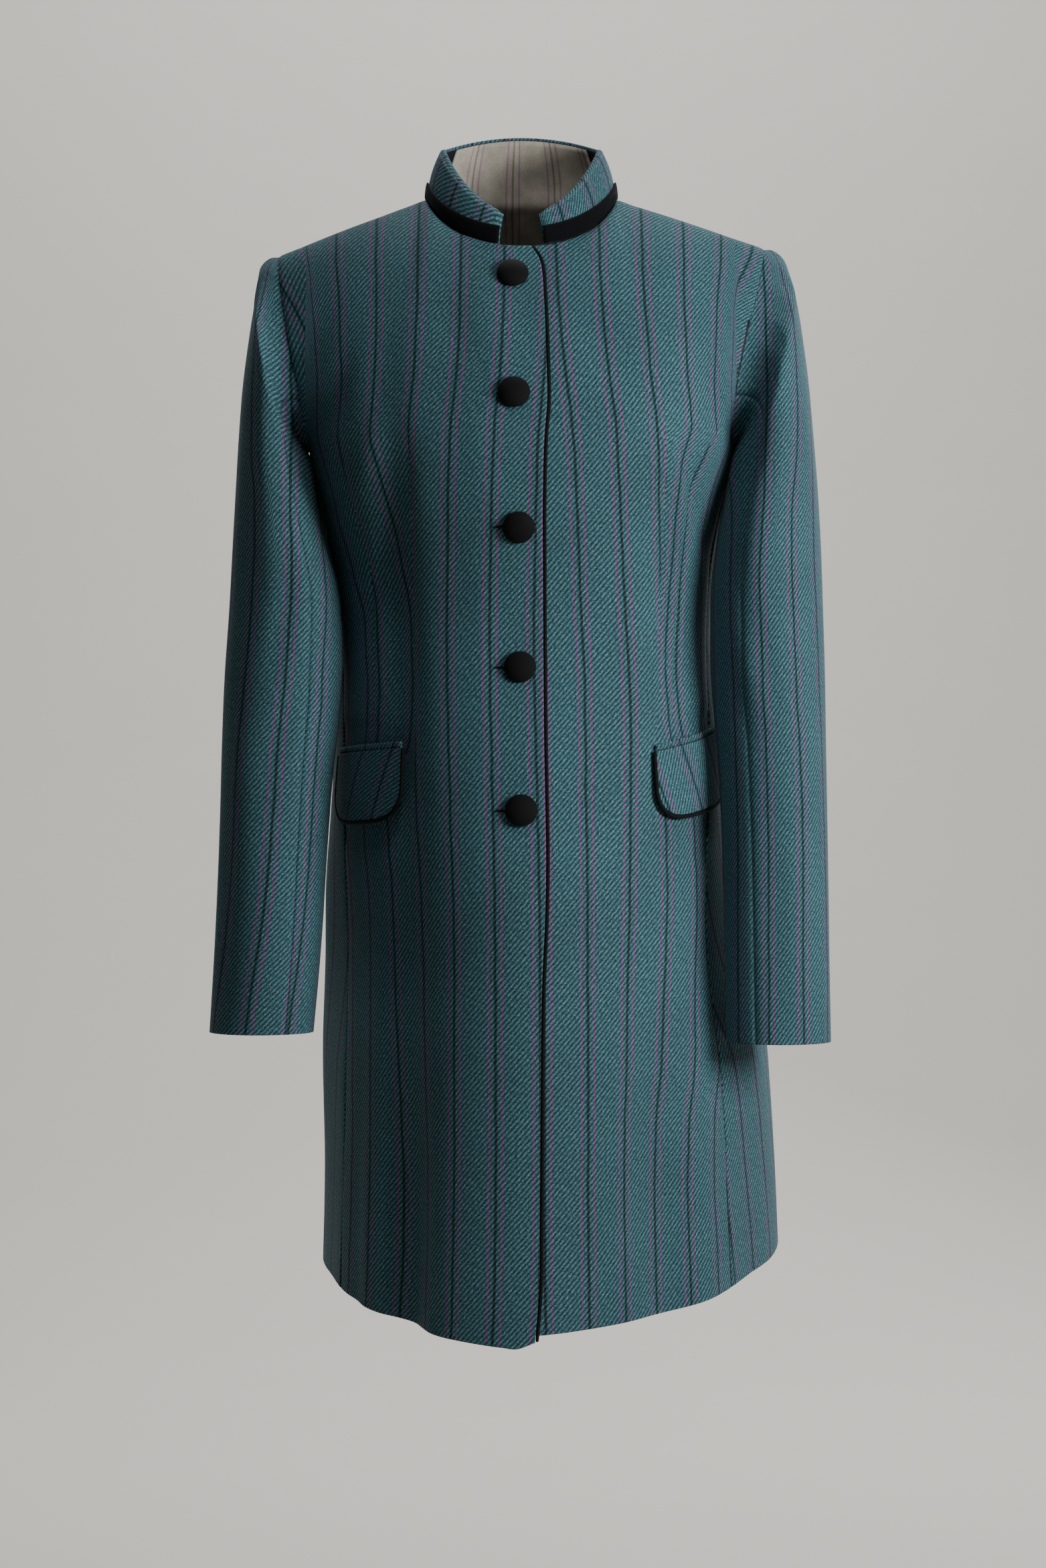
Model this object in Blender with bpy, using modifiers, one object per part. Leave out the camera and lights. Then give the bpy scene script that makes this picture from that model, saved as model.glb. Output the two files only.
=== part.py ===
"""Long fitted jacket, buttoned at the front, standing hollow as when worn.

The origin is midway between the two points where the shoulder seams meet the
neck. +Z is up, +X is the wearer's left and the front faces -Y. Every table is
in millimetres; the meshes are in metres.
"""
import math

import bmesh
import bpy
from mathutils import Vector
from mathutils.bvhtree import BVHTree

MM = 0.001

# Cloth walls and the gaps between sewn pieces
BODY_WALL = 2.0
SLEEVE_WALL = 1.8
COLLAR_WALL = 2.4
BAND_WALL = 1.6
FACING_WALL = 1.2
FLAP_WALL = 2.2
WELT_WALL = 1.6
SEAM_GAP = 0.5
SLEEVE_SEAM_GAP = 0.8
SLEEVE_INNER_TRIM = 0.3
LAY_GAP = 0.5

# Grid of a body panel
NECK_COLUMNS = 7
SHOULDER_COLUMNS = 8
CHEST_STEPS = (0.0, 0.035, 0.09, 0.17, 0.28, 0.4, 0.53, 0.67, 0.83, 1.0)
CHEST_ROWS = len(CHEST_STEPS) - 1
SKIRT_ROWS = 15

# Heights and corner points of the cut
UNDERARM_HEIGHT = -205.0
NECK_FRONT_DROP = 48.0
NECK_HALF_WIDTH = 76.0
NECK_FRONT_DEPTH = 66.0
NECK_BACK_DEPTH = 54.0
NECK_BACK_RISE = 2.0
NECK_SHARE = 0.44
SHOULDER_HOLLOW = 2.5
SHOULDER_TIP = {-1: (196.0, 0.0, -45.0), 1: (196.0, 0.0, -39.0)}

# How far each front runs past the centre line, and how far the upper one lies out
UNDER_LAP = 22.0
UPPER_LAP_RISE = 2.8
LAP_FLAT = 27.0
LAP_FADE = 62.0
LAP_CORNER = {-1: 5.0, 1: 2.0}

# Sections of the body: half-widths, front and back, and where it is widest.
# The seam columns give the angle of each side seam from the centre front.
BODY_COLUMNS = ("height", "right", "left", "front", "back", "widest",
                "front_fullness", "back_fullness", "seam_right", "seam_left")
BODY_ROWS = (
    (-205, 170, 170, -125, 117, 4, 2.35, 2.30, 90, 90),
    (-256, 157, 156, -120, 112, 12, 2.25, 2.25, 87, 87),
    (-300, 149, 151, -110, 104, 18, 2.15, 2.20, 83, 83),
    (-346, 146, 151, -104, 100, 22, 2.10, 2.15, 79, 78),
    (-390, 147, 155, -112, 107, 24, 2.08, 2.12, 77, 75),
    (-430, 149, 160, -124, 118, 26, 2.02, 2.10, 74, 71),
    (-490, 152, 166, -137, 132, 31, 1.95, 2.05, 70, 65),
    (-560, 154, 175, -146, 142, 38, 1.88, 2.00, 66, 58),
    (-620, 156, 186, -151, 148, 44, 1.85, 2.00, 63, 54),
    (-680, 160, 201, -155, 152, 48, 1.88, 2.00, 61, 52),
    (-780, 161, 208, -158, 156, 49, 1.92, 2.00, 60, 52),
    (-905, 163, 214, -161, 160, 50, 1.95, 2.00, 60, 52),
)

# Height of the hem by the angle from the centre front
HEM_COLUMNS = ("angle", "right", "left")
HEM_ROWS = (
    (-10, -900, -891),
    (0, -899, -890),
    (30, -889, -879),
    (50, -876, -866),
    (68, -864, -854),
    (90, -857, -844),
    (130, -853, -846),
    (180, -857, -857),
)

# Soft flutes of the skirt: angle from the centre front, plus towards the left,
# then width in degrees, depth and the height at which the flute starts
FLUTES = (
    (-23, 8.0, 3.5, -600),
    (-35, 6.5, -10.0, -500),
    (-46, 5.0, 5.0, -560),
    (-58, 5.5, 4.0, -580),
    (16, 8.0, -2.5, -600),
    (31, 6.5, -6.0, -480),
    (43, 5.5, 3.0, -560),
    (60, 7.0, -3.5, -580),
    (-104, 8.0, -6.0, -560),
    (-128, 9.0, 6.0, -540),
    (-152, 8.0, -9.0, -520),
    (176, 9.0, 5.0, -560),
    (150, 8.0, -8.0, -530),
    (124, 9.0, 6.0, -550),
    (100, 8.0, -6.0, -560),
)

# Profile of the chest on the centre front and centre back: y, z
CENTRE_FRONT = ((-66, -48), (-91, -100), (-111, -150), (-125, -205))
CENTRE_BACK = ((54, 2), (85, -50), (105, -100), (114, -150), (117, -205))

# Lines from the neck point over the chest and over the shoulder blade: x, y, z
CHEST_LINE = ((76, 0, 0), (77, -12, -2), (80, -30, -14), (85, -52, -40), (93, -78, -90), (105, -96, -150))
BLADE_LINE = ((76, 0, 0), (77, 13, -2), (81, 32, -12), (87, 57, -38), (95, 82, -88), (103, 97, -150))

# Armholes from the shoulder tip to the underarm: x, y, z without their end points
ARMHOLE_FRONT = {
    -1: ((195.8, -11, -47.5), (194.5, -25, -60), (190, -39, -90), (183.5, -50, -128),
         (176.5, -50, -163), (172, -33, -192)),
    1: ((195.5, -11, -41.5), (193, -25, -55), (187, -40, -84), (179, -50, -118),
        (172, -53, -150), (168, -38, -186)),
}
ARMHOLE_BACK = {
    -1: ((196, 12, -47), (195, 27, -58), (191.5, 43, -88), (185, 55, -126), (178, 54, -162),
         (173, 36, -191)),
    1: ((196, 12, -41), (195, 27, -53), (191.5, 43, -85), (185, 55, -125), (178, 54, -162),
        (173, 36, -191)),
}
UNDERARM = (170.0, 4.0, UNDERARM_HEIGHT)

# Edge of the lapping front: its distance past the centre line by height
FRONT_EDGE = ((-48, 7.5), (-56, 12), (-68, 16), (-130, 19), (-175, 20), (-225, 16.5),
              (-430, 17.5), (-540, 19), (-640, 15.5), (-860, 13.5), (-905, 10))

# Sleeves by height: outer and inner edge, front and back of the tube
SLEEVE_COLUMNS = ("height", "outer", "inner", "front", "back")
SLEEVE_ROWS = {
    -1: (
        (-42, 206, 178, -47, 50),
        (-76, 213, 177, -58, 60),
        (-100, 217, 177, -64, 64),
        (-160, 224.5, 177, -72, 64),
        (-205, 227.5, 174, -73, 59),
        (-256, 230, 161, -75, 46),
        (-333, 233.5, 143.5, -78, 32),
        (-394, 237, 142, -81, 22),
        (-434, 238, 147, -85, 14),
        (-515, 239, 153, -95, -3),
        (-594, 241, 157, -106, -24),
        (-675, 244.5, 163.5, -117, -40),
    ),
    1: (
        (-42, 208, 176, -47, 50),
        (-76, 220, 175, -58, 60),
        (-100, 224.5, 175, -64, 64),
        (-160, 232, 176, -72, 64),
        (-205, 235.5, 174, -73, 59),
        (-256, 239, 160, -75, 46),
        (-333, 241, 151, -79, 30),
        (-394, 242, 151, -83, 20),
        (-434, 242, 155, -87, 11),
        (-515, 242, 158.5, -98, -8),
        (-594, 241.5, 159.5, -110, -29),
        (-680, 242, 160.4, -122, -45),
    ),
}
CUFF_HEIGHT = {-1: -665.0, 1: -672.0}
# Angles round a sleeve, from its outer edge to the front; the mirror image is the back
RING_ANGLES = (0, 9, 20, 36, 56, 78, 100, 121, 150, 180)
FOREARM_SEAM = 7
HINDARM_SEAM = 12
SLEEVE_STEPS = (0.0, 2.5, 7, 14, 24, 36, 52, 74, 104, 142, 186, 234, 286, 340, 396, 452, 508, 564)
SLEEVE_LENGTH = 620.0
HEAD_START = 1.5
HEAD_ROLL = 28.0
# Below this height a sleeve leaves the armhole upwards into the underarm, in this direction
UNDERARM_TURN = -190.0
UNDERARM_TURN_DEPTH = 15.0
UNDERARM_START = (0.45, 0.0, 0.9)
# Steps in which a smooth curve is measured, and the height that rays are cast down from
CURVE_STEPS = 120
RAY_TOP = 100.0
NO_CLOTH = -1000.0

# Stand collar: its top edge, its ends and its puff between the edges
COLLAR_COLUMNS = 34
COLLAR_ROWS = 3
COLLAR_END_ANGLE = 12.5
COLLAR_TOP_WIDTH = 64.5
COLLAR_TOP_FRONT = 62.0
COLLAR_TOP_BACK = 43.0
COLLAR_SIDE_HEIGHT = 42.0
COLLAR_FRONT_FALL = 64.0
COLLAR_BACK_LIFT = 18.0
COLLAR_PUFF = 2.5
COLLAR_LEAN = 2.5
COLLAR_CORNER_SHARE = 0.35
COLLAR_CORNER_DROP = 2.5
COLLAR_BASE_GAP = 1.0
BAND_HEIGHT = 15.0
BAND_REST_GAP = 0.8
FACING_COLUMNS = 4
# Share up the collar and extra clearance of each row of the facing, then rows of the back
FACING_SHARES = ((0.93, 0.3), (0.667, 0.3), (0.333, 0.4), (0.0, 1.4))
FACING_BACK_ROWS = ((1, 1.2), (2, 0.5), (3, 0.2), (4, 0.0))

# Covered buttons: centre across and height, all one size
BUTTON_PLACES = ((-6.8, -72), (-5.7, -169.5), (-2.0, -273), (-1.0, -381), (0.0, -491.5))
BUTTON_PROFILE = ((0, 7.6), (4.6, 7.2), (8.4, 6.0), (11.0, 4.3), (12.4, 2.6),
                  (12.7, 1.5), (11.9, 0.5), (9.6, 0), (0, 0))
BUTTON_SIDES = 16

# Piping, welts and flaps of the pockets
EDGE_PIPING_RADIUS = 1.4
EDGE_PIPING_PROUD = 0.2
FLAP_PIPING_RADIUS = 1.6
FLAP_WIDTH = 95.0
FLAP_DEPTH = 54.0
FLAP_COLUMNS = 10
FLAP_ROWS = 4
FLAP_CORNER = 0.56
FLAP_KICK = 1.2
WELT_DEPTH = 5.0
# Front end of each flap's top edge, its height, and the rise along the flap
FLAP_PLACES = {-1: (38.0, -443.5, -4.0), 1: (40.0, -446.0, 17.0)}

# Colour, roughness of each cloth
CLOTHS = {
    "striped_wool": ((0.045, 0.125, 0.145, 1.0), 0.85),
    "pale_facing": ((0.30, 0.32, 0.29, 1.0), 0.85),
    "black_velvet": ((0.008, 0.009, 0.011, 1.0), 0.95),
}


def clear_scene():
    for item in list(bpy.data.objects):
        bpy.data.objects.remove(item, do_unlink=True)


def cloth_material(name):
    """Principled material of one cloth."""
    material = bpy.data.materials.get(name)
    if material is None:
        colour, roughness = CLOTHS[name]
        material = bpy.data.materials.new(name)
        material.use_nodes = True
        shader = material.node_tree.nodes["Principled BSDF"]
        shader.inputs["Base Color"].default_value = colour
        shader.inputs["Roughness"].default_value = roughness
        shader.inputs["Metallic"].default_value = 0.0
    return material


def eased(value):
    """Smooth step from 0 to 1."""
    value = min(1.0, max(0.0, value))
    return value * value * (3.0 - 2.0 * value)


def slopes(places, values):
    """Slope at each knot of a smooth curve that never overshoots its knots."""
    steps = [b - a for a, b in zip(places, places[1:])]
    rates = [(b - a) / step for a, b, step in zip(values, values[1:], steps)]
    inner = []
    for before, after, near, far in zip(rates, rates[1:], steps, steps[1:]):
        if before * after <= 0.0:
            inner.append(0.0)
        else:
            weighed = (far + 2.0 * near) / before + (2.0 * far + near) / after
            inner.append(3.0 * (near + far) / weighed)
    return [rates[0]] + inner + [rates[-1]]


def smooth_value(places, values, place):
    """Value at a place on the smooth curve through rising knots."""
    place = min(places[-1], max(places[0], place))
    rates = slopes(places, values)
    index = max(i for i in range(len(places) - 1) if places[i] <= place or i == 0)
    step = places[index + 1] - places[index]
    t = (place - places[index]) / step
    return ((1 + 2 * t) * (1 - t) ** 2 * values[index]
            + t * (1 - t) ** 2 * step * rates[index]
            + t * t * (3 - 2 * t) * values[index + 1]
            + t * t * (t - 1) * step * rates[index + 1])


def table_value(rows, columns, name, place):
    """A named column of a table at a place in its first column."""
    ordered = sorted(rows)
    column = columns.index(name)
    return smooth_value([row[0] for row in ordered], [row[column] for row in ordered], place)


def points_at(knots, shares):
    """Points at these shares of the length of a smooth curve through the knots."""
    knots = [Vector(knot) for knot in knots]
    places = [0.0]
    for before, after in zip(knots, knots[1:]):
        places.append(places[-1] + (after - before).length)
    fine = CURVE_STEPS
    line = [Vector([smooth_value(places, [knot[axis] for knot in knots], places[-1] * i / fine)
                    for axis in range(len(knots[0]))]) for i in range(fine + 1)]
    lengths = [0.0]
    for before, after in zip(line, line[1:]):
        lengths.append(lengths[-1] + (after - before).length)
    points = []
    for share in shares:
        target = lengths[-1] * share
        index = min(fine - 1, max(j for j in range(fine) if lengths[j] <= target + 1e-9))
        part = (target - lengths[index]) / (lengths[index + 1] - lengths[index])
        points.append(line[index].lerp(line[index + 1], part))
    return points


def side_name(angle):
    return "right" if angle < 0.0 else "left"


def body_value(name, height):
    return table_value(BODY_ROWS, BODY_COLUMNS, name, height)


def flute(angle, height):
    """How far the skirt's flutes stand out at an angle and a height."""
    out = 0.0
    for centre, width, depth, top in FLUTES:
        turn = (angle - centre + 180.0) % 360.0 - 180.0
        fall = eased((top - height) / (top + 860.0))
        out += depth * math.exp(-(turn / width) ** 2) * fall
    return out


def body_point(angle, height):
    """Outer surface of the body; the angle runs from the centre front, plus towards the left."""
    wide = body_value(side_name(angle), height)
    widest = body_value("widest", height)
    facing = "front" if abs(angle) <= 90.0 else "back"
    reach = body_value(facing, height) - widest
    power = 2.0 / body_value(facing + "_fullness", height)
    sine = math.sin(math.radians(angle))
    cosine = math.cos(math.radians(angle))
    across = math.copysign(wide * abs(sine) ** power, sine)
    along = reach * abs(cosine) ** power
    outward = Vector((across / wide ** 2, along / reach ** 2, 0.0)).normalized()
    return Vector((across, widest + along, height)) + outward * flute(angle, height)


def body_angle(across, height):
    """Angle at which the front of the body lies this far across."""
    wide = body_value(side_name(across), height)
    power = body_value("front_fullness", height) / 2.0
    return math.copysign(math.degrees(math.asin(min(1.0, abs(across) / wide) ** power)), across)


def hem_height(angle):
    return table_value(HEM_ROWS, HEM_COLUMNS, side_name(angle), abs(angle))


def neck_point(turn):
    """Neck seam at a turn from the centre front, 90 at the shoulder, 180 at the centre back."""
    sine = math.sin(math.radians(turn))
    cosine = math.cos(math.radians(turn))
    across = math.copysign(NECK_HALF_WIDTH * abs(sine) ** 0.95, sine)
    if cosine > 0.0:
        return Vector((across, -NECK_FRONT_DEPTH * cosine, -NECK_FRONT_DROP * cosine ** 1.25))
    return Vector((across, -NECK_BACK_DEPTH * cosine, -NECK_BACK_RISE * cosine))


def mirrored(points, side):
    return [Vector((side * point[0], point[1], point[2])) for point in points]


def row_through(centre, neck, arm, share, at_neck):
    """Point of one row across the chest, flat at the centre and bent towards the armhole."""
    first = (neck - centre) / at_neck
    start = Vector((first.x, 0.0, 0.5 * first.z))
    second = (arm - neck) / (1.0 - at_neck)
    middle = first.lerp(second, at_neck)
    end = 2.0 * second - middle
    if share <= at_neck:
        t, low, high, slope_low, slope_high, step = (share / at_neck, centre, neck, start, middle,
                                                     at_neck)
    else:
        t, low, high, slope_low, slope_high, step = ((share - at_neck) / (1.0 - at_neck), neck, arm,
                                                     middle, end, 1.0 - at_neck)
    return (low * ((1 + 2 * t) * (1 - t) ** 2) + slope_low * (step * t * (1 - t) ** 2)
            + high * (t * t * (3 - 2 * t)) + slope_high * (step * t * t * (t - 1)))


def chest_point(lines, row, share, top_at, bottom_at, at_neck):
    """Point of the chest; a share below 0 lies past the centre line."""
    if share < 0.0:
        point = chest_point(lines, row, -share, top_at, bottom_at, at_neck)
        return Vector((-point.x, point.y, point.z))
    fall = CHEST_STEPS[row]
    point = row_through(*(line[row] for line in lines), share, at_neck)
    above = top_at(share) - row_through(*(line[0] for line in lines), share, at_neck)
    below = bottom_at(share) - row_through(*(line[-1] for line in lines), share, at_neck)
    return point + above * (1.0 - fall) ** 3 + below * fall ** 3


def column_share(column, edge, at_neck):
    """Share of the way from the centre to the armhole at a column of the grid."""
    if column <= NECK_COLUMNS:
        return edge + (at_neck - edge) * column / NECK_COLUMNS
    return at_neck + (1.0 - at_neck) * (column - NECK_COLUMNS) / SHOULDER_COLUMNS


def top_of(side, at_neck, turn_at):
    """Function that gives the neck seam and then the shoulder seam, a little hollow."""
    tip = Vector(SHOULDER_TIP[side])
    start = Vector((NECK_HALF_WIDTH, 0.0, 0.0))

    def point(share):
        if share <= at_neck:
            return neck_point(turn_at(share / at_neck))
        along = (share - at_neck) / (1.0 - at_neck)
        hollow = -SHOULDER_HOLLOW * math.sin(math.pi * along)
        return start.lerp(tip, along) + Vector((0.0, 0.0, hollow))
    return point


def chest_grid(side, centre_knots, neck_knots, arm_knots, turn_at, angle_at, edge_at):
    """Rows from the neck and shoulder seams down to the underarm, on one side of the centre."""
    at_neck = NECK_SHARE
    top_at = top_of(side, at_neck, turn_at)

    def bottom_at(share):
        return mirrored([body_point(side * angle_at(share), UNDERARM_HEIGHT)], side)[0]

    lines = (points_at([(0.0, y, z) for y, z in centre_knots], CHEST_STEPS),
             points_at(neck_knots + (tuple(bottom_at(at_neck)),), CHEST_STEPS),
             points_at((SHOULDER_TIP[side],) + arm_knots + (UNDERARM,), CHEST_STEPS))
    rows = []
    for row in range(CHEST_ROWS + 1):
        target = abs(edge_at(lines[0][row].z))
        low, high = 0.0, at_neck
        while high - low > 1e-4:
            edge = (low + high) / 2
            if chest_point(lines, row, edge, top_at, bottom_at, at_neck).x < target:
                low = edge
            else:
                high = edge
        edge = -low
        rows.append([chest_point(lines, row, column_share(column, edge, at_neck),
                                 top_at, bottom_at, at_neck)
                     for column in range(NECK_COLUMNS + SHOULDER_COLUMNS + 1)])
    return rows


def front_edge(side, height):
    """Signed distance of a front's free edge from the centre, plus towards its own side."""
    if side > 0:
        return -UNDER_LAP
    ordered = sorted(FRONT_EDGE)
    return -smooth_value([row[0] for row in ordered], [row[1] for row in ordered], height)


def lap_rise(side, across):
    """How far the lapping front lies out over the other one."""
    if side > 0:
        return 0.0
    return UPPER_LAP_RISE * (1.0 - eased((across - LAP_FLAT) / (LAP_FADE - LAP_FLAT)))


def skirt_rows(side, angle_at):
    """Rows from the underarm to the hem on one side; angle_at gives an angle by column and height."""
    rows = []
    for step in range(1, SKIRT_ROWS + 1):
        points = []
        for column in range(NECK_COLUMNS + SHOULDER_COLUMNS + 1):
            level = UNDERARM_HEIGHT
            for _ in range(3):
                angle = angle_at(column, level)
                end = hem_height(side * max(angle, 0.001))
                level = UNDERARM_HEIGHT + (end - UNDERARM_HEIGHT) * step / SKIRT_ROWS
            points += mirrored([body_point(side * angle, level)], side)
        rows.append(points)
    return rows


def front_points(side):
    """Grid of a front's outer surface, from its free edge to the side seam."""
    def angle_at(column, height):
        edge = side * body_angle(side * front_edge(side, height), height)
        seam = body_value("seam_" + side_name(side), height)
        at_neck = NECK_SHARE * seam
        if column <= NECK_COLUMNS:
            return edge + (at_neck - edge) * column / NECK_COLUMNS
        return at_neck + (seam - at_neck) * (column - NECK_COLUMNS) / SHOULDER_COLUMNS

    rows = chest_grid(side, CENTRE_FRONT, CHEST_LINE, ARMHOLE_FRONT[side],
                      lambda share: 90.0 * share, lambda share: 90.0 * share,
                      lambda height: front_edge(side, height))
    rows += skirt_rows(side, angle_at)
    raised = [[point + Vector((0.0, -lap_rise(side, point.x), 0.0)) for point in row] for row in rows]
    raised[-1][0].z += LAP_CORNER[side]
    return [mirrored(row, side) for row in raised]


def back_points():
    """Grid of the back's outer surface, from the right side seam to the left one."""
    halves = {}
    for side in (-1, 1):
        def angle_at(column, height, side=side):
            seam = body_value("seam_" + side_name(side), height)
            return 180.0 - (180.0 - seam) * column_share(column, 0.0, NECK_SHARE)

        rows = chest_grid(side, CENTRE_BACK, BLADE_LINE, ARMHOLE_BACK[side],
                          lambda share: 180.0 - 90.0 * share, lambda share: 180.0 - 90.0 * share,
                          lambda height: 0.0)
        rows += skirt_rows(side, angle_at)
        halves[side] = [mirrored(row, side) for row in rows]
    return [right[::-1] + left[1:] for right, left in zip(halves[-1], halves[1])]


def drawn_in(rows, left=0.0, right=0.0, top=0.0, bottom=0.0):
    """The same grid with its edges drawn in by half a seam's gap."""
    rows = [[point.copy() for point in row] for row in rows]
    for row in rows:
        row[0] += (row[1] - row[0]).normalized() * left
        row[-1] += (row[-2] - row[-1]).normalized() * right
    for column in range(len(rows[0])):
        rows[0][column] += (rows[1][column] - rows[0][column]).normalized() * top
        rows[-1][column] += (rows[-2][column] - rows[-1][column]).normalized() * bottom
    return rows


def grid_normals(rows):
    """Outward direction at each point of a grid, rows going down and columns to its left."""
    last_row = len(rows) - 1
    last = len(rows[0]) - 1
    normals = []
    for r, row in enumerate(rows):
        line = []
        for c in range(len(row)):
            across = row[min(c + 1, last)] - row[max(c - 1, 0)]
            down = rows[min(r + 1, last_row)][c] - rows[max(r - 1, 0)][c]
            line.append(down.cross(across).normalized())
        normals.append(line)
    return normals


def grid_layer(shape, rows, turned):
    """Grid of faces through the points; returns its border edges."""
    across = len(rows[0]) - 1
    made = bmesh.ops.create_grid(shape, x_segments=across, y_segments=len(rows) - 1, size=1.0)
    points = [point for row in rows for point in row]
    for vert, point in zip(made["verts"], points):
        vert.co = point * MM
    faces = {face for vert in made["verts"] for face in vert.link_faces}
    if turned:
        bmesh.ops.reverse_faces(shape, faces=list(faces))
    return [edge for face in faces for edge in face.edges if edge.is_boundary]


def cloth_object(name, shape, cloth):
    """Smooth-shaded object from a finished shape."""
    mesh = bpy.data.meshes.new(name)
    shape.to_mesh(mesh)
    shape.free()
    mesh.shade_smooth()
    return add_object(name, mesh, cloth)


def cloth_panel(name, rows, wall, cloth, outside=1.0):
    """Cloth through the outer points, thickened inwards; outside is -1 where the grid is mirrored."""
    shape = bmesh.new()
    grid_layer(shape, rows, outside > 0.0)
    panel = cloth_object(name, shape, cloth)
    solidify = panel.modifiers.new("wall", "SOLIDIFY")
    solidify.thickness = wall * MM
    solidify.offset = -1.0


def closed_panel(name, outer, inner, cloth, outside):
    """Cloth between its own outer and inner points."""
    shape = bmesh.new()
    border = grid_layer(shape, outer, outside > 0.0) + grid_layer(shape, inner, outside <= 0.0)
    bmesh.ops.bridge_loops(shape, edges=list(set(border)))
    cloth_object(name, shape, cloth)


def add_object(name, data, cloth):
    """Object of its own in the jacket's collection."""
    item = bpy.data.objects.new(name, data)
    bpy.data.collections["long_jacket"].objects.link(item)
    item.data.materials.append(cloth_material(cloth))
    return item


def piping(name, points, radius):
    """Round cord through the points with closed ends."""
    curve = bpy.data.curves.new(name, "CURVE")
    curve.dimensions = "3D"
    curve.bevel_depth = radius * MM
    curve.bevel_resolution = 2
    curve.use_fill_caps = True
    spline = curve.splines.new("POLY")
    spline.points.add(len(points) - 1)
    for knot, point in zip(spline.points, points):
        knot.co = (point.x * MM, point.y * MM, point.z * MM, 1.0)
    return add_object(name, curve, "black_velvet")


def sleeve_value(side, name, height):
    return table_value(SLEEVE_ROWS[side], SLEEVE_COLUMNS, name, height)


def tube_point(side, angle, height):
    """Point of the hanging sleeve's tube; 0 is its outer edge and 90 its front."""
    outer, inner, front, back = (sleeve_value(side, name, height) for name in SLEEVE_COLUMNS[1:])
    turn = math.radians(angle)
    return Vector(((outer + inner) / 2 + (outer - inner) / 2 * math.cos(turn),
                   (front + back) / 2 + (front - back) / 2 * math.sin(turn), height))


def sleeve_points(side, front, back):
    """Rows of rings from the armhole to the cuff, mirrored to the left of the body."""
    front = [mirrored(row, side) for row in front]
    back = [mirrored(row, side) for row in back]
    loop = [front[row][-1] for row in range(CHEST_ROWS + 1)]
    loop += [back[row][-1] for row in range(CHEST_ROWS - 1, 0, -1)]
    before = [front[row][-2] for row in range(CHEST_ROWS + 1)]
    before += [back[row][-2] for row in range(CHEST_ROWS - 1, 0, -1)]
    angles = list(RING_ANGLES) + [360 - angle for angle in RING_ANGLES[-2:0:-1]]
    count = len(loop)
    starts = []
    for i, point in enumerate(loop):
        along = (loop[(i + 1) % count] - loop[i - 1]).normalized()
        out = point - before[i]
        out = (out - along * out.dot(along)).normalized()
        low = eased((UNDERARM_TURN - loop[i].z) / UNDERARM_TURN_DEPTH)
        starts.append(out.lerp(Vector(UNDERARM_START), low).normalized())
    rows = []
    for distance in SLEEVE_STEPS + (SLEEVE_LENGTH,):
        ring = []
        for i, point in enumerate(loop):
            share = distance / SLEEVE_LENGTH
            height = point.z + (CUFF_HEIGHT[side] - point.z) * share
            settled = eased((distance - HEAD_START) / HEAD_ROLL)
            leaving = point + starts[i] * distance
            ring.append(leaving.lerp(tube_point(side, angles[i], height), settled))
        rows.append(ring)
    return rows


def make_sleeve(side, name, front, back):
    """Top and under sleeve, parted at the forearm and hindarm seams."""
    rings = sleeve_points(side, front, back)
    count = len(rings[0])
    inner_rings = []
    for r, ring in enumerate(rings):
        below = rings[min(r + 1, len(rings) - 1)]
        above = rings[max(r - 1, 0)]
        inner = []
        for i, point in enumerate(ring):
            along = ring[(i + 1) % count] - ring[i - 1]
            inner.append(point - along.cross(below[i] - above[i]).normalized() * SLEEVE_WALL)
        inner_rings.append(inner)
    pieces = (("sleeve_top_", range(HINDARM_SEAM, FOREARM_SEAM + count + 1)),
              ("sleeve_under_", range(FOREARM_SEAM, HINDARM_SEAM + 1)))
    half = SLEEVE_SEAM_GAP / 2
    for prefix, columns in pieces:
        layers = []
        for whole, edge in ((rings, half), (inner_rings, half + SLEEVE_INNER_TRIM)):
            rows = [[ring[column % count] for column in columns] for ring in whole]
            layers.append([mirrored(row, side) for row in drawn_in(rows, edge, edge, half)])
        closed_panel(prefix + name, layers[0], layers[1], "striped_wool", -side)


def collar_top(turn):
    """Top edge of the stand collar at a turn from the centre front."""
    sine = math.sin(math.radians(turn))
    cosine = math.cos(math.radians(turn))
    if cosine > 0.0:
        along = -COLLAR_TOP_FRONT * cosine
        height = COLLAR_SIDE_HEIGHT - COLLAR_FRONT_FALL * cosine ** 1.6
    else:
        along = -COLLAR_TOP_BACK * cosine
        height = COLLAR_SIDE_HEIGHT + COLLAR_BACK_LIFT * abs(cosine) ** 1.5
    return Vector((COLLAR_TOP_WIDTH * sine, along + COLLAR_LEAN * sine * sine, height))


def collar_point(turn, share, out=0.0):
    """Outer surface of the collar from the neck seam to the top edge."""
    base = neck_point(turn) + Vector((0.0, 0.0, COLLAR_BASE_GAP))
    outward = Vector((base.x, base.y, 0.0)).normalized()
    puff = COLLAR_PUFF * math.sin(math.pi * share)
    return base.lerp(collar_top(turn), share) + outward * (puff + out)


def collar_turns():
    whole = 360.0 - 2.0 * COLLAR_END_ANGLE
    return [COLLAR_END_ANGLE + whole * column / COLLAR_COLUMNS for column in range(COLLAR_COLUMNS + 1)]


def resting_height(trees, point):
    """Height of the cloth straight below a point."""
    start = Vector((point.x, point.y, RAY_TOP))
    hits = [tree.ray_cast(start, Vector((0.0, 0.0, -1.0)))[0] for tree in trees]
    return max([hit.z for hit in hits if hit] + [NO_CLOTH])


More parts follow.
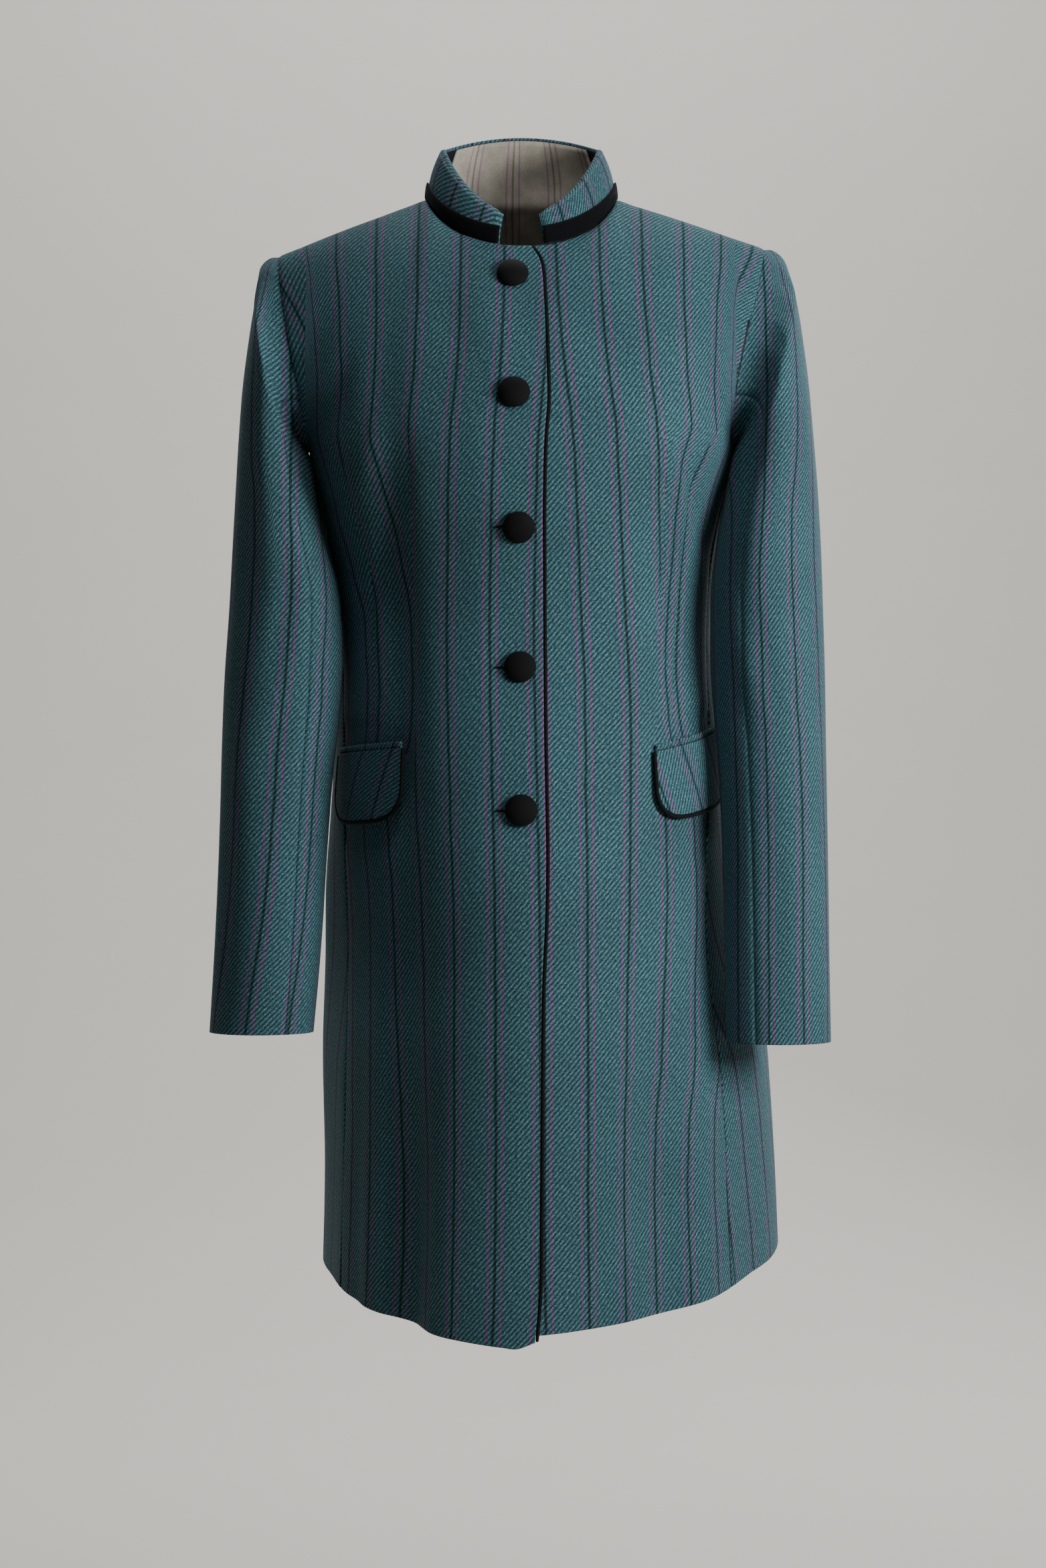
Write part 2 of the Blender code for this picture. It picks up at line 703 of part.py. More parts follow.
def make_collar(trees):
    """Stand of the striped cloth with the velvet band round its base."""
    turns = collar_turns()
    rows = [[collar_point(turn, r / COLLAR_ROWS) for turn in turns]
            for r in range(COLLAR_ROWS, -1, -1)]
    for end, inner in ((0, 1), (-1, -2)):
        corner = rows[0][end].lerp(rows[0][inner], COLLAR_CORNER_SHARE)
        rows[0][end] = corner - Vector((0.0, 0.0, COLLAR_CORNER_DROP))
    cloth_panel("collar", rows, COLLAR_WALL, "striped_wool")
    out = BAND_WALL + LAY_GAP
    band = []
    for part in (1.0, 0.5, 0.0):
        row = []
        for turn in turns:
            tall = (collar_top(turn) - neck_point(turn)).length
            point = collar_point(turn, BAND_HEIGHT * part / tall, out)
            if part == 0.0:
                near = collar_point(turn, 0.0, LAY_GAP)
                rest = max(resting_height(trees, point), resting_height(trees, near))
                point.z = max(point.z, rest + BAND_REST_GAP)
            row.append(point)
        band.append(row)
    cloth_panel("collar_band", band, BAND_WALL, "black_velvet")


def make_facing(back):
    """Pale facing inside the back of the collar and down the inside of the back."""
    middle = len(back[0]) // 2
    columns = range(middle - FACING_COLUMNS, middle + FACING_COLUMNS + 1)
    back_out = grid_normals(back)
    rows = []
    for share, clear in FACING_SHARES:
        row = []
        for column in columns:
            turn = 180.0 + (column - middle) * 90.0 / NECK_COLUMNS
            row.append(collar_point(-turn, share, -(COLLAR_WALL + LAY_GAP + clear)))
        rows.append(row)
    for r, clear in FACING_BACK_ROWS:
        inside = BODY_WALL + LAY_GAP + clear
        rows.append([back[r][column] + back_out[r][column] * inside for column in columns])
    cloth_panel("neck_facing", rows, FACING_WALL, "pale_facing", outside=-1.0)


def make_front_piping(rows):
    """Piping along the free edge of the lapping front and round its lower corner."""
    out = grid_normals(rows)
    away = EDGE_PIPING_RADIUS + LAY_GAP
    points = []
    for row, line in zip(rows, out):
        edge = (row[0] - row[1]).normalized()
        points.append(row[0] + edge * away - line[0] * (BODY_WALL / 2 - EDGE_PIPING_PROUD))
    piping("front_piping", points, EDGE_PIPING_RADIUS)


def panel_tree(rows):
    """Search tree of a panel's outer facets."""
    points = [point for row in rows for point in row]
    width = len(rows[0])
    faces = [(r * width + c, r * width + c + 1, (r + 1) * width + c + 1, (r + 1) * width + c)
             for r in range(len(rows) - 1) for c in range(width - 1)]
    return BVHTree.FromPolygons(points, faces)


def make_buttons(rows):
    """Turned domes with their backs just clear of the lapping front."""
    tree = panel_tree(rows)
    for number, (across, height) in enumerate(BUTTON_PLACES, 1):
        point, normal = tree.ray_cast(Vector((across, -400.0, height)), Vector((0.0, 1.0, 0.0)))[:2]
        if normal.y > 0.0:
            normal = -normal
        name = "button_%d" % number
        mesh = bpy.data.meshes.new(name)
        shape = bmesh.new()
        verts = [shape.verts.new((x * MM, 0.0, z * MM)) for x, z in BUTTON_PROFILE]
        for before, after in zip(verts, verts[1:]):
            shape.edges.new((before, after))
        shape.to_mesh(mesh)
        shape.free()
        button = add_object(name, mesh, "black_velvet")
        screw = button.modifiers.new("turn", "SCREW")
        screw.steps = BUTTON_SIDES
        screw.render_steps = BUTTON_SIDES
        screw.use_merge_vertices = True
        screw.merge_threshold = 0.0001
        button.location = (point + normal * LAY_GAP) * MM
        button.rotation_euler = normal.to_track_quat("Z", "Y").to_euler()


def surface_point(side, angle, height, out):
    """Point this far out from the body, at an angle on its own side."""
    point = body_point(side * angle, height)
    across = body_point(side * (angle + 1.0), height) - body_point(side * (angle - 1.0), height)
    down = body_point(side * angle, height - 4.0) - body_point(side * angle, height + 4.0)
    normal = down.cross(across).normalized() * side
    return point + normal * out


def flap_angle(side, share, height):
    """Angle reached a share of the flap's width along the body from its front end."""
    start = FLAP_PLACES[side][0]
    target = FLAP_WIDTH * share
    angle = start
    run = 0.0
    step = 1.0
    before = body_point(side * angle, height)
    while run < target:
        after = body_point(side * (angle + step), height)
        run += (after - before).length
        before = after
        angle += step
    return angle - (run - target) / max(1e-6, (body_point(side * angle, height)
                                               - body_point(side * (angle - step), height)).length)


def flap_drop(share):
    """Depth of the flap's rounded outline at a share of its width."""
    return FLAP_DEPTH * (FLAP_CORNER + (1.0 - FLAP_CORNER) * (1.0 - abs(2.0 * share - 1.0) ** 4) ** 0.5)


def flap_point(side, share, drop, out):
    start, top, rise = FLAP_PLACES[side]
    height = top + rise * share - drop
    angle = flap_angle(side, share, top + rise * share)
    return surface_point(side, angle, height, out)


def flap_shares():
    """Shares of the width, closer together at the rounded corners."""
    return [0.5 - 0.5 * math.cos(math.pi * column / FLAP_COLUMNS) for column in range(FLAP_COLUMNS + 1)]


def make_pocket(side, name):
    """Welt, flap and the piping round the flap."""
    out = FLAP_WALL + LAY_GAP
    shares = flap_shares()
    rows = [[flap_point(side, share, flap_drop(share) * r / FLAP_ROWS, out + FLAP_KICK * r / FLAP_ROWS)
             for share in shares] for r in range(FLAP_ROWS + 1)]
    cloth_panel("pocket_flap_" + name, rows, FLAP_WALL, "striped_wool", outside=side)
    welt = [[flap_point(side, share, -(WELT_DEPTH + SEAM_GAP) + WELT_DEPTH * r, WELT_WALL + LAY_GAP)
             for share in shares] for r in range(2)]
    cloth_panel("pocket_welt_" + name, welt, WELT_WALL, "striped_wool", outside=side)
    normals = grid_normals(rows)
    edge = [(r, 0) for r in range(FLAP_ROWS)]
    edge += [(FLAP_ROWS, c) for c in range(FLAP_COLUMNS + 1)]
    edge += [(r, FLAP_COLUMNS) for r in range(FLAP_ROWS - 1, -1, -1)]
    outline = [rows[r][c] for r, c in edge]
    line = []
    for i, (r, c) in enumerate(edge):
        along = outline[min(i + 1, len(edge) - 1)] - outline[max(i - 1, 0)]
        away = along.cross(normals[r][c]).normalized() * (FLAP_PIPING_RADIUS + LAY_GAP)
        line.append(outline[i] + away - normals[r][c] * (FLAP_WALL / 2 * side))
    piping("flap_piping_" + name, line, FLAP_PIPING_RADIUS)


def build():
    clear_scene()
    collection = bpy.data.collections.new("long_jacket")
    bpy.context.scene.collection.children.link(collection)
    fronts = {side: front_points(side) for side in (-1, 1)}
    back = back_points()
    half = SEAM_GAP / 2
    for side, name in ((-1, "right"), (1, "left")):
        rows = drawn_in(fronts[side], right=half)
        for column in range(NECK_COLUMNS, len(rows[0])):
            rows[0][column] += (rows[1][column] - rows[0][column]).normalized() * half
        cloth_panel("front_" + name, rows, BODY_WALL, "striped_wool", outside=side)
    rows = drawn_in(back, left=half, right=half)
    width = len(rows[0])
    for column in list(range(SHOULDER_COLUMNS + 1)) + list(range(width - SHOULDER_COLUMNS - 1, width)):
        rows[0][column] += (rows[1][column] - rows[0][column]).normalized() * half
    cloth_panel("back", rows, BODY_WALL, "striped_wool", outside=-1.0)
    make_sleeve(-1, "right", fronts[-1], [row[::-1] for row in back])
    make_sleeve(1, "left", fronts[1], back)
    make_collar([panel_tree(fronts[-1]), panel_tree(fronts[1]), panel_tree(back)])
    make_facing(back)
    make_front_piping(fronts[-1])
    make_buttons(fronts[-1])
    make_pocket(-1, "right")
    make_pocket(1, "left")


build()
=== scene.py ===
import math

import bmesh
import bpy
import numpy as np
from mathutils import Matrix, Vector
from mathutils.bvhtree import BVHTree


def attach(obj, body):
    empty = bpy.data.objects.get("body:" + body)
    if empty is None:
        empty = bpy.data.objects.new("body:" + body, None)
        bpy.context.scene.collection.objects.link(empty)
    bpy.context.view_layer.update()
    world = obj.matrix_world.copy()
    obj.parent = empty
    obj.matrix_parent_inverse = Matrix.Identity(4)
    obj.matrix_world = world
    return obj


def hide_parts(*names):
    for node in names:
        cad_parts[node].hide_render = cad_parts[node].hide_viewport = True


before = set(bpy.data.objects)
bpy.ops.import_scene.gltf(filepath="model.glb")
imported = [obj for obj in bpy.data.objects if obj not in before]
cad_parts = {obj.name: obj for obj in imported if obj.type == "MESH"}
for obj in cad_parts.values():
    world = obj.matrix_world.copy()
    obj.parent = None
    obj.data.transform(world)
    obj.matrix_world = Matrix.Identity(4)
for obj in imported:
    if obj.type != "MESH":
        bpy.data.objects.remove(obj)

bl_info = {
    "name": "Long jacket",
    "version": (1, 0, 0),
    "blender": (4, 5, 0),
    "location": "3D View > Sidebar > Jacket",
    "description": "Looks of a fitted long jacket of pin-striped wool, on its packed frame",
    "category": "Object",
}

MM = 0.001
NARROWEST_STRIP = 0.0105

# Heights and corner points of the cut
UNDERARM_HEIGHT = -205.0
NECK_FRONT_DROP = 48.0
NECK_HALF_WIDTH = 76.0
NECK_FRONT_DEPTH = 66.0
NECK_BACK_DEPTH = 54.0
NECK_BACK_RISE = 2.0
NECK_SHARE = 0.44
SHOULDER_HOLLOW = 2.5
SHOULDER_TIP = {-1: (196.0, 0.0, -45.0), 1: (196.0, 0.0, -39.0)}
NECK_COLUMNS = 7
SHOULDER_COLUMNS = 8
CHEST_STEPS = (0.0, 0.035, 0.09, 0.17, 0.28, 0.4, 0.53, 0.67, 0.83, 1.0)
SKIRT_ROWS = 15

# How far each front runs past the centre line, and how far the upper one lies out
UNDER_LAP = 22.0
UPPER_LAP_RISE = 2.8
LAP_FLAT = 27.0
LAP_FADE = 62.0
LAP_CORNER = {-1: 5.0, 1: 2.0}

# Sections of the body: half-widths, front and back, and where it is widest
BODY_COLUMNS = ("height", "right", "left", "front", "back", "widest",
                "front_fullness", "back_fullness", "seam_right", "seam_left")
BODY_ROWS = (
    (-205, 170, 170, -125, 117, 4, 2.35, 2.30, 90, 90),
    (-256, 157, 156, -120, 112, 12, 2.25, 2.25, 87, 87),
    (-300, 149, 151, -110, 104, 18, 2.15, 2.20, 83, 83),
    (-346, 146, 151, -104, 100, 22, 2.10, 2.15, 79, 78),
    (-390, 147, 155, -112, 107, 24, 2.08, 2.12, 77, 75),
    (-430, 149, 160, -124, 118, 26, 2.02, 2.10, 74, 71),
    (-490, 152, 166, -137, 132, 31, 1.95, 2.05, 70, 65),
    (-560, 154, 175, -146, 142, 38, 1.88, 2.00, 66, 58),
    (-620, 156, 186, -151, 148, 44, 1.85, 2.00, 63, 54),
    (-680, 160, 201, -155, 152, 48, 1.88, 2.00, 61, 52),
    (-780, 161, 208, -158, 156, 49, 1.92, 2.00, 60, 52),
    (-905, 163, 214, -161, 160, 50, 1.95, 2.00, 60, 52),
)
HEM_COLUMNS = ("angle", "right", "left")
HEM_ROWS = (
    (-10, -900, -891),
    (0, -899, -890),
    (30, -889, -879),
    (50, -876, -866),
    (68, -864, -854),
    (90, -857, -844),
    (130, -853, -846),
    (180, -857, -857),
)

# Soft flutes of the skirt: angle from the centre front (plus towards the left),
# width in degrees, depth and the height at which the flute starts
FLUTES = (
    (-23, 8.0, 3.5, -600),
    (-35, 6.5, -10.0, -500),
    (-46, 5.0, 5.0, -560),
    (-58, 5.5, 4.0, -580),
    (16, 8.0, -2.5, -600),
    (31, 6.5, -6.0, -480),
    (43, 5.5, 3.0, -560),
    (60, 7.0, -3.5, -580),
    (-104, 8.0, -6.0, -560),
    (-128, 9.0, 6.0, -540),
    (-152, 8.0, -9.0, -520),
    (176, 9.0, 5.0, -560),
    (150, 8.0, -8.0, -530),
    (124, 9.0, 6.0, -550),
    (100, 8.0, -6.0, -560),
)

# Chest lines as x, y, z
CENTRE_FRONT = ((0, -66, -48), (0, -91, -100), (0, -111, -150), (0, -125, -205))
CENTRE_BACK = ((0, 54, 2), (0, 85, -50), (0, 105, -100), (0, 114, -150), (0, 117, -205))
CHEST_LINE = ((76, 0, 0), (77, -12, -2), (80, -30, -14), (85, -52, -40), (93, -78, -90),
              (105, -96, -150))
BLADE_LINE = ((76, 0, 0), (77, 13, -2), (81, 32, -12), (87, 57, -38), (95, 82, -88),
              (103, 97, -150))
ARMHOLE_FRONT = {
    -1: ((195.8, -11, -47.5), (194.5, -25, -60), (190, -39, -90), (183.5, -50, -128),
         (176.5, -50, -163), (172, -33, -192)),
    1: ((195.5, -11, -41.5), (193, -25, -55), (187, -40, -84), (179, -50, -118),
        (172, -53, -150), (168, -38, -186)),
}
ARMHOLE_BACK = {
    -1: ((196, 12, -47), (195, 27, -58), (191.5, 43, -88), (185, 55, -126), (178, 54, -162),
         (173, 36, -191)),
    1: ((196, 12, -41), (195, 27, -53), (191.5, 43, -85), (185, 55, -125), (178, 54, -162),
        (173, 36, -191)),
}
UNDERARM = (170.0, 4.0, UNDERARM_HEIGHT)
FRONT_EDGE = ((-905, 10), (-860, 13.5), (-640, 15.5), (-540, 19), (-430, 17.5), (-225, 16.5),
              (-175, 20), (-130, 19), (-68, 16), (-56, 12), (-48, 7.5))

# Sleeves by height: outer and inner edge, front and back of the tube
SLEEVE_COLUMNS = ("height", "outer", "inner", "front", "back")
SLEEVE_ROWS = {
    -1: ((-42, 206, 178, -47, 50), (-76, 213, 177, -58, 60), (-100, 217, 177, -64, 64),
         (-160, 224.5, 177, -72, 64), (-205, 227.5, 174, -73, 59), (-256, 230, 161, -75, 46),
         (-333, 233.5, 143.5, -78, 32), (-394, 237, 142, -81, 22), (-434, 238, 147, -85, 14),
         (-515, 239, 153, -95, -3), (-594, 241, 157, -106, -24), (-675, 244.5, 163.5, -117, -40)),
    1: ((-42, 208, 176, -47, 50), (-76, 220, 175, -58, 60), (-100, 224.5, 175, -64, 64),
        (-160, 232, 176, -72, 64), (-205, 235.5, 174, -73, 59), (-256, 239, 160, -75, 46),
        (-333, 241, 151, -79, 30), (-394, 242, 151, -83, 20), (-434, 242, 155, -87, 11),
        (-515, 242, 158.5, -98, -8), (-594, 241.5, 159.5, -110, -29), (-680, 242, 160.4, -122, -45)),
}
CUFF_HEIGHT = {-1: -665.0, 1: -672.0}
RING_ANGLES = (0, 9, 20, 36, 56, 78, 100, 121, 150, 180)
FOREARM_SEAM = 7
HINDARM_SEAM = 12
SLEEVE_STEPS = (0.0, 2.5, 7, 14, 24, 36, 52, 74, 104, 142, 186, 234, 286, 340, 396, 452, 508, 564)
SLEEVE_LENGTH = 620.0
HEAD_START = 1.5
HEAD_ROLL = 28.0
UNDERARM_TURN = -190.0
UNDERARM_TURN_DEPTH = 15.0
UNDERARM_START = (0.45, 0.0, 0.9)
CURVE_STEPS = 120

# Stand collar
COLLAR_END_ANGLE = 12.5
COLLAR_TOP_WIDTH = 64.5
COLLAR_TOP_FRONT = 62.0
COLLAR_TOP_BACK = 43.0
COLLAR_SIDE_HEIGHT = 42.0
COLLAR_FRONT_FALL = 64.0
COLLAR_BACK_LIFT = 18.0
COLLAR_PUFF = 2.5
COLLAR_LEAN = 2.5
COLLAR_BASE_GAP = 1.0
COLLAR_WALL = 2.4
COLLAR_ROLL = 2.2
# How many columns of the back's cut the facing reaches to each side
FACING_REACH = 4.7
BAND_HEIGHT = 15.0
BAND_REST_GAP = 0.8
BAND_WALL = 1.6
LAY_GAP = 0.5

# Buttons, pockets and pipings
BUTTON_PLACES = ((-6.8, -72), (-5.7, -169.5), (-2.0, -273), (-1.0, -381), (0.0, -491.5))
BUTTON_PROFILE = ((0, 7.4), (3.0, 7.25), (6.0, 6.7), (8.6, 5.75), (10.6, 4.5), (11.9, 3.2),
                  (12.55, 2.1), (12.6, 1.3), (12.0, 0.6), (10.6, 0.15), (8.0, 0), (0, 0))
FLAP_WIDTH = 95.0
FLAP_DEPTH = 54.0
FLAP_CORNER = 0.56
FLAP_WALL = 2.2
FLAP_KICK = 1.2
WELT_DEPTH = 5.0
WELT_WALL = 1.6
FLAP_PLACES = {-1: (38.0, -443.5, -4.0), 1: (40.0, -446.0, 17.0)}
EDGE_PIPING_RADIUS = 1.4
FLAP_PIPING_RADIUS = 1.6

# Where the darts and side panel seams of each front run: height, distance from the centre.
# Above the height in DART_TOPS the line is only a column of the mesh.
DART_LINES = {
    -1: (((-905, 96), (-700, 92), (-560, 88), (-430, 85), (-300, 86), (-205, 88), (-120, 92), (0, 96)),
         ((-905, 136), (-560, 128), (-440, 120), (-390, 117), (-300, 121), (-240, 134), (-200, 152),
          (-120, 166), (0, 176))),
    1: (((-905, 112), (-700, 108), (-560, 106), (-430, 107), (-350, 109), (-300, 110), (-205, 112),
         (-120, 112), (0, 112)),
        ((-905, 160), (-560, 138), (-440, 120), (-350, 123), (-290, 127), (-250, 132), (-215, 141),
         (-190, 158), (-120, 168), (0, 178))),
}
DART_TOPS = {-1: (-190, -178), 1: (-215, -182)}
DART_FOOT = -452.0
# Cloth taken out at each dart, by height
DART_INTAKES = {
    -1: (((-905, 0), (-520, 0), (-470, 4), (-440, 26), (-390, 34), (-340, 33), (-300, 24), (-260, 14),
          (-220, 6), (-190, 0), (0, 0)),
         ((-905, 0), (-520, 0), (-470, 4), (-440, 18), (-390, 20), (-340, 18), (-300, 14), (-240, 8),
          (-180, 0), (0, 0))),
    1: (((-905, 0), (-520, 0), (-470, 4), (-440, 28), (-390, 34), (-364, 32), (-299, 22), (-219, 11),
         (-205, 6), (-190, 0), (0, 0)),
        ((-905, 0), (-520, 0), (-470, 4), (-440, 20), (-390, 22), (-300, 22), (-240, 18), (-210, 9),
         (-182, 0), (0, 0))),
}
# How the grain of each front leans, and how much cloth its flutes take up, by height
GRAIN_LEAN = {
    -1: ((-905, 2), (-850, 4), (-760, 5), (-560, 4), (-490, 2.5), (-360, 0), (-265, 1.2), (-205, 3.2),
         (-141, 8.8), (-80, 11), (-54, 11.2), (0, 11.4)),
    1: ((-905, -8), (-760, -7), (-560, -7), (-480, -6), (-400, -5), (-324, -1.5), (-253, 2),
        (-192, 5.8), (-150, 10.9), (-118, 14), (-80, 16.7), (-54, 17.5), (0, 18)),
}
FLUTE_TAKE = {
    -1: ((-905, 0.1), (-760, 0.15), (-650, 0.12), (-550, 0.08), (-480, 0), (0, 0)),
    1: ((-905, 0.16), (-840, 0.17), (-790, 0.19), (-735, 0.16), (-690, 0.06), (-640, 0), (-560, -0.09),
        (-440, -0.12), (-360, -0.08), (-300, -0.04), (-205, 0), (0, 0)),
}
FLUTE_TAKE_FROM = 50.0
# Below this height the twill is level across the whole piece
LEVEL_TOP = -60.0
# Share by which the chest's stripes follow its curve, by height
CHEST_CURVE = ((-154, 1.0), (-100, 0.6), (-45, 0.2), (0, 0.1))
# Distance from the centre of one dark stripe on each front, the back and the sleeves
STRIPE_PHASE = {"front_right": 24.4, "front_left": 45.0, "back": 17.0}
SLEEVE_STRIPE = {-1: 3.0, 1: -10.0}
SLEEVE_LEAN = {
    -1: ((-680, -14), (-632, -10.6), (-580, -5.5), (-527, -2), (-400, 1), (-360, 3.5), (-318, 6),
         (-276, 12.5), (-235, 16.2), (-192, 16), (-150, 15.5), (0, 15)),
    1: ((-680, -11.5), (-400, -14.5), (-330, -13), (-276, -9), (-235, -7.5), (-150, -10.5), (0, -10.5)),
}
# How much closer together the stripes show on each sleeve than on the flat cloth
SLEEVE_TAKE = {-1: 1.0, 1: 1.25}
# Roundness of the waist's side behind the arm, by height, and where it lies
SIDE_FILL = {
    -1: ((-905, 0), (-780, 0.5), (-700, 2.5), (-640, 5), (-560, 6), (-500, 4), (-440, 2.5), (-400, 2),
         (-346, 3.5), (-300, 6), (-256, 6.5), (-228, 6.8), (-215, 5.8), (-208, 3.6), (-203, 1.2), (-197, 0),
         (0, 0)),
    1: ((-905, 0), (-480, 0), (-400, 1.5), (-346, 3), (-300, 5.5), (-256, 6.5), (-228, 6.8), (-215, 5.8),
        (-208, 3.6), (-203, 1.2), (-197, 0), (0, 0)),
}
SIDE_FILL_PLACE = 22.0
SIDE_FILL_REACH = 30.0
BACK_DART_INTAKE = ((-905, 0), (-600, 0), (-480, 14), (-380, 26), (-300, 16), (-200, 4), (-150, 0), (0, 0))
BACK_DART_LINE = ((-905, 104), (-600, 92), (-480, 80), (-380, 74), (-300, 78), (-200, 96),
                  (-150, 118), (-110, 150), (-60, 172), (0, 178))
BACK_DART_TOP = -118.0
BACK_CENTRE_INTAKE = ((-905, 2), (-600, 4), (-450, 12), (-380, 15), (-300, 10), (-180, 3), (0, 0))

# Soft creases of the body: side, part (front or back), distance from the
# centre, height, half length, half width, lean in degrees from upright, depth
CREASES = (
    (-1, "front", 97, -350, 190, 15, 3, -6.5),
    (-1, "front", 62, -420, 220, 20, 2, 2.2),
    (-1, "front", 84, -800, 120, 15, 0, -4.5),
    (-1, "front", 128, -236, 60, 13, -24, 2.6),
    (-1, "front", 112, -300, 62, 9, -17, -2.4),
    (-1, "front", 146, -170, 46, 9, -16, -2.0),
    (-1, "front", 44, -132, 34, 18, 28, -1.6),
    (-1, "front", 60, -690, 130, 22, 2, 1.4),
    (1, "front", 136, -250, 42, 8, -18, -2.6),
    (1, "front", 124, -236, 40, 8, -14, 1.6),
    (1, "front", 120, -380, 95, 12, -8, -2.2),
    (1, "front", 58, -120, 44, 20, -20, -1.2),
    (1, "front", 150, -165, 40, 9, -12, -1.8),
    (1, "front", 96, -330, 120, 20, 3, 1.4),
    (1, "front", 52, -420, 130, 22, 0, -1.0),
    (-1, "front", 30, -420, 120, 20, 0, 0.9),
    (-1, "back", 60, -330, 26, 60, 66, -2.0),
    (-1, "back", 66, -372, 22, 62, 74, -2.6),
    (-1, "back", 62, -352, 18, 58, 70, 1.8),
    (1, "back", 58, -338, 24, 60, 64, -2.2),
    (1, "back", 68, -380, 22, 60, 72, -2.4),
    (1, "back", 64, -360, 16, 56, 68, 1.8),
    (-1, "back", 140, -180, 50, 11, 14, -2.4),
    (1, "back", 142, -176, 52, 11, 12, -2.2),
    (-1, "back", 30, -120, 60, 22, 20, -1.4),
    (1, "back", 34, -112, 58, 24, 18, -1.2),
)

# Soft creases of the sleeves: side, angle round the tube, height, half length,
# half width in degrees, lean in degrees of turn per 100 mm, depth
SLEEVE_CREASES = (
    (-1, 60, -250, 120, 20, 6, -2.6),
    (-1, 118, -270, 150, 16, 2, 2.4),
    (-1, 96, -330, 60, 12, 22, -1.8),
    (-1, 130, -380, 40, 22, 40, -2.4),
    (-1, 100, -420, 46, 18, 34, -2.2),
    (-1, 60, -470, 90, 20, -8, 1.8),
    (-1, 40, -580, 90, 16, -4, -1.8),
    (-1, 95, -600, 80, 20, 6, 1.4),
    (-1, 250, -330, 40, 22, -36, -2.6),
    (-1, 290, -380, 46, 24, -30, -2.4),
    (-1, 235, -440, 50, 20, -30, -2.0),
    (1, 70, -230, 120, 20, 4, -2.2),
    (1, 112, -290, 130, 16, 2, 2.2),
    (1, 100, -370, 50, 14, 26, -2.0),
    (1, 132, -400, 42, 20, 38, -2.2),
    (1, 55, -500, 90, 20, -8, 1.6),
    (1, 96, -560, 90, 16, 4, -1.6),
    (1, 30, -600, 90, 16, -4, 1.2),
    (1, 252, -340, 42, 22, -36, -2.6),
    (1, 288, -390, 44, 24, -32, -2.2),
    (1, 236, -450, 50, 20, -28, -2.0),
)
# Fullness of the sleeve under the arm, towards the front: angle, its half width, height,
# its half length and depth
UNDERARM_FULLNESS = (162.0, 22.0, -214.0, 24.0, 6.0)
# Small puckers where the sleeve head is eased into the armhole
PUCKER_COUNT = 17
PUCKER_DEPTH = 0.5
PUCKER_REACH = 26.0

# Depth and half width of the trough at a seam
SEAM_DEPTH = 0.9
SEAM_WIDTH = 2.4
# Every edge has a row of small faces beside it, so that it looks folded and not bent
EDGE_MARGIN = 0.9
# Mesh fineness
PANEL_ROWS = 170
FRONT_SPANS = (34, 16, 16)
BACK_SPANS = (22, 26, 26, 22)
SLEEVE_FINENESS = 7
# Columns of the collar, and its rows up the outside, over the roll and down the inside
COLLAR_ACROSS = 171
COLLAR_STEPS = (16, 9, 14)
COLLAR_ROLL_START = 0.94
# Coarser grids of the body that the band rests on
REST_ROWS = 110
REST_COLUMNS = 46

# Soft lights: name, place, point that they face, size in metres and power in watts
LIGHTS = (
    ("key", (1.18, -0.92, -0.12), (0.0, 0.0, -0.38), 0.6, 20.5),
    ("fill", (-2.4, -2.2, 0.2), (0.0, 0.0, -0.5), 1.4, 0.4),
    ("neck", (0.12, -0.75, 1.2), (0.0, 0.0, 0.0), 0.3, 5.4),
    ("back_left", (1.3, 2.6, 0.3), (0.0, 0.2, -0.45), 1.3, 22.0),
    ("back_right", (-0.9, 2.8, 0.2), (0.0, 0.2, -0.45), 1.3, 4.0),
    ("backdrop", (0.0, 1.3, 2.5), (0.0, 4.1, -0.2), 2.0, 150.0),
    ("floor", (0.0, -2.6, 2.6), (0.0, -1.4, -1.42), 1.0, 5.0),
)
WORLD_STRENGTH = 0.02
CAMERA_LENS = 73.94
CAMERA_SENSOR = 36.0
CAMERA_PLACE = (0.00135, -2.6, -0.471)
# Floor in metres, and where and how roundly it turns up into the backdrop
FLOOR_START = -4.5
FLOOR_LENGTH = 12.0
FLOOR_HALF_WIDTH = 7.0
FLOOR_HEIGHT = -1.42
FLOOR_TURN = 2.2
FLOOR_ROUND = 2.0


def linear(code):
    """Linear colour of an sRGB hex value."""
    parts = [int(code[i:i + 2], 16) / 255.0 for i in (1, 3, 5)]
    return tuple(part / 12.92 if part <= 0.04045 else ((part + 0.055) / 1.055) ** 2.4 for part in parts)


def colour_property(name, description, code):
    return bpy.props.FloatVectorProperty(name=name, description=description, subtype="COLOR",
                                         size=3, min=0.0, max=1.0, default=linear(code))


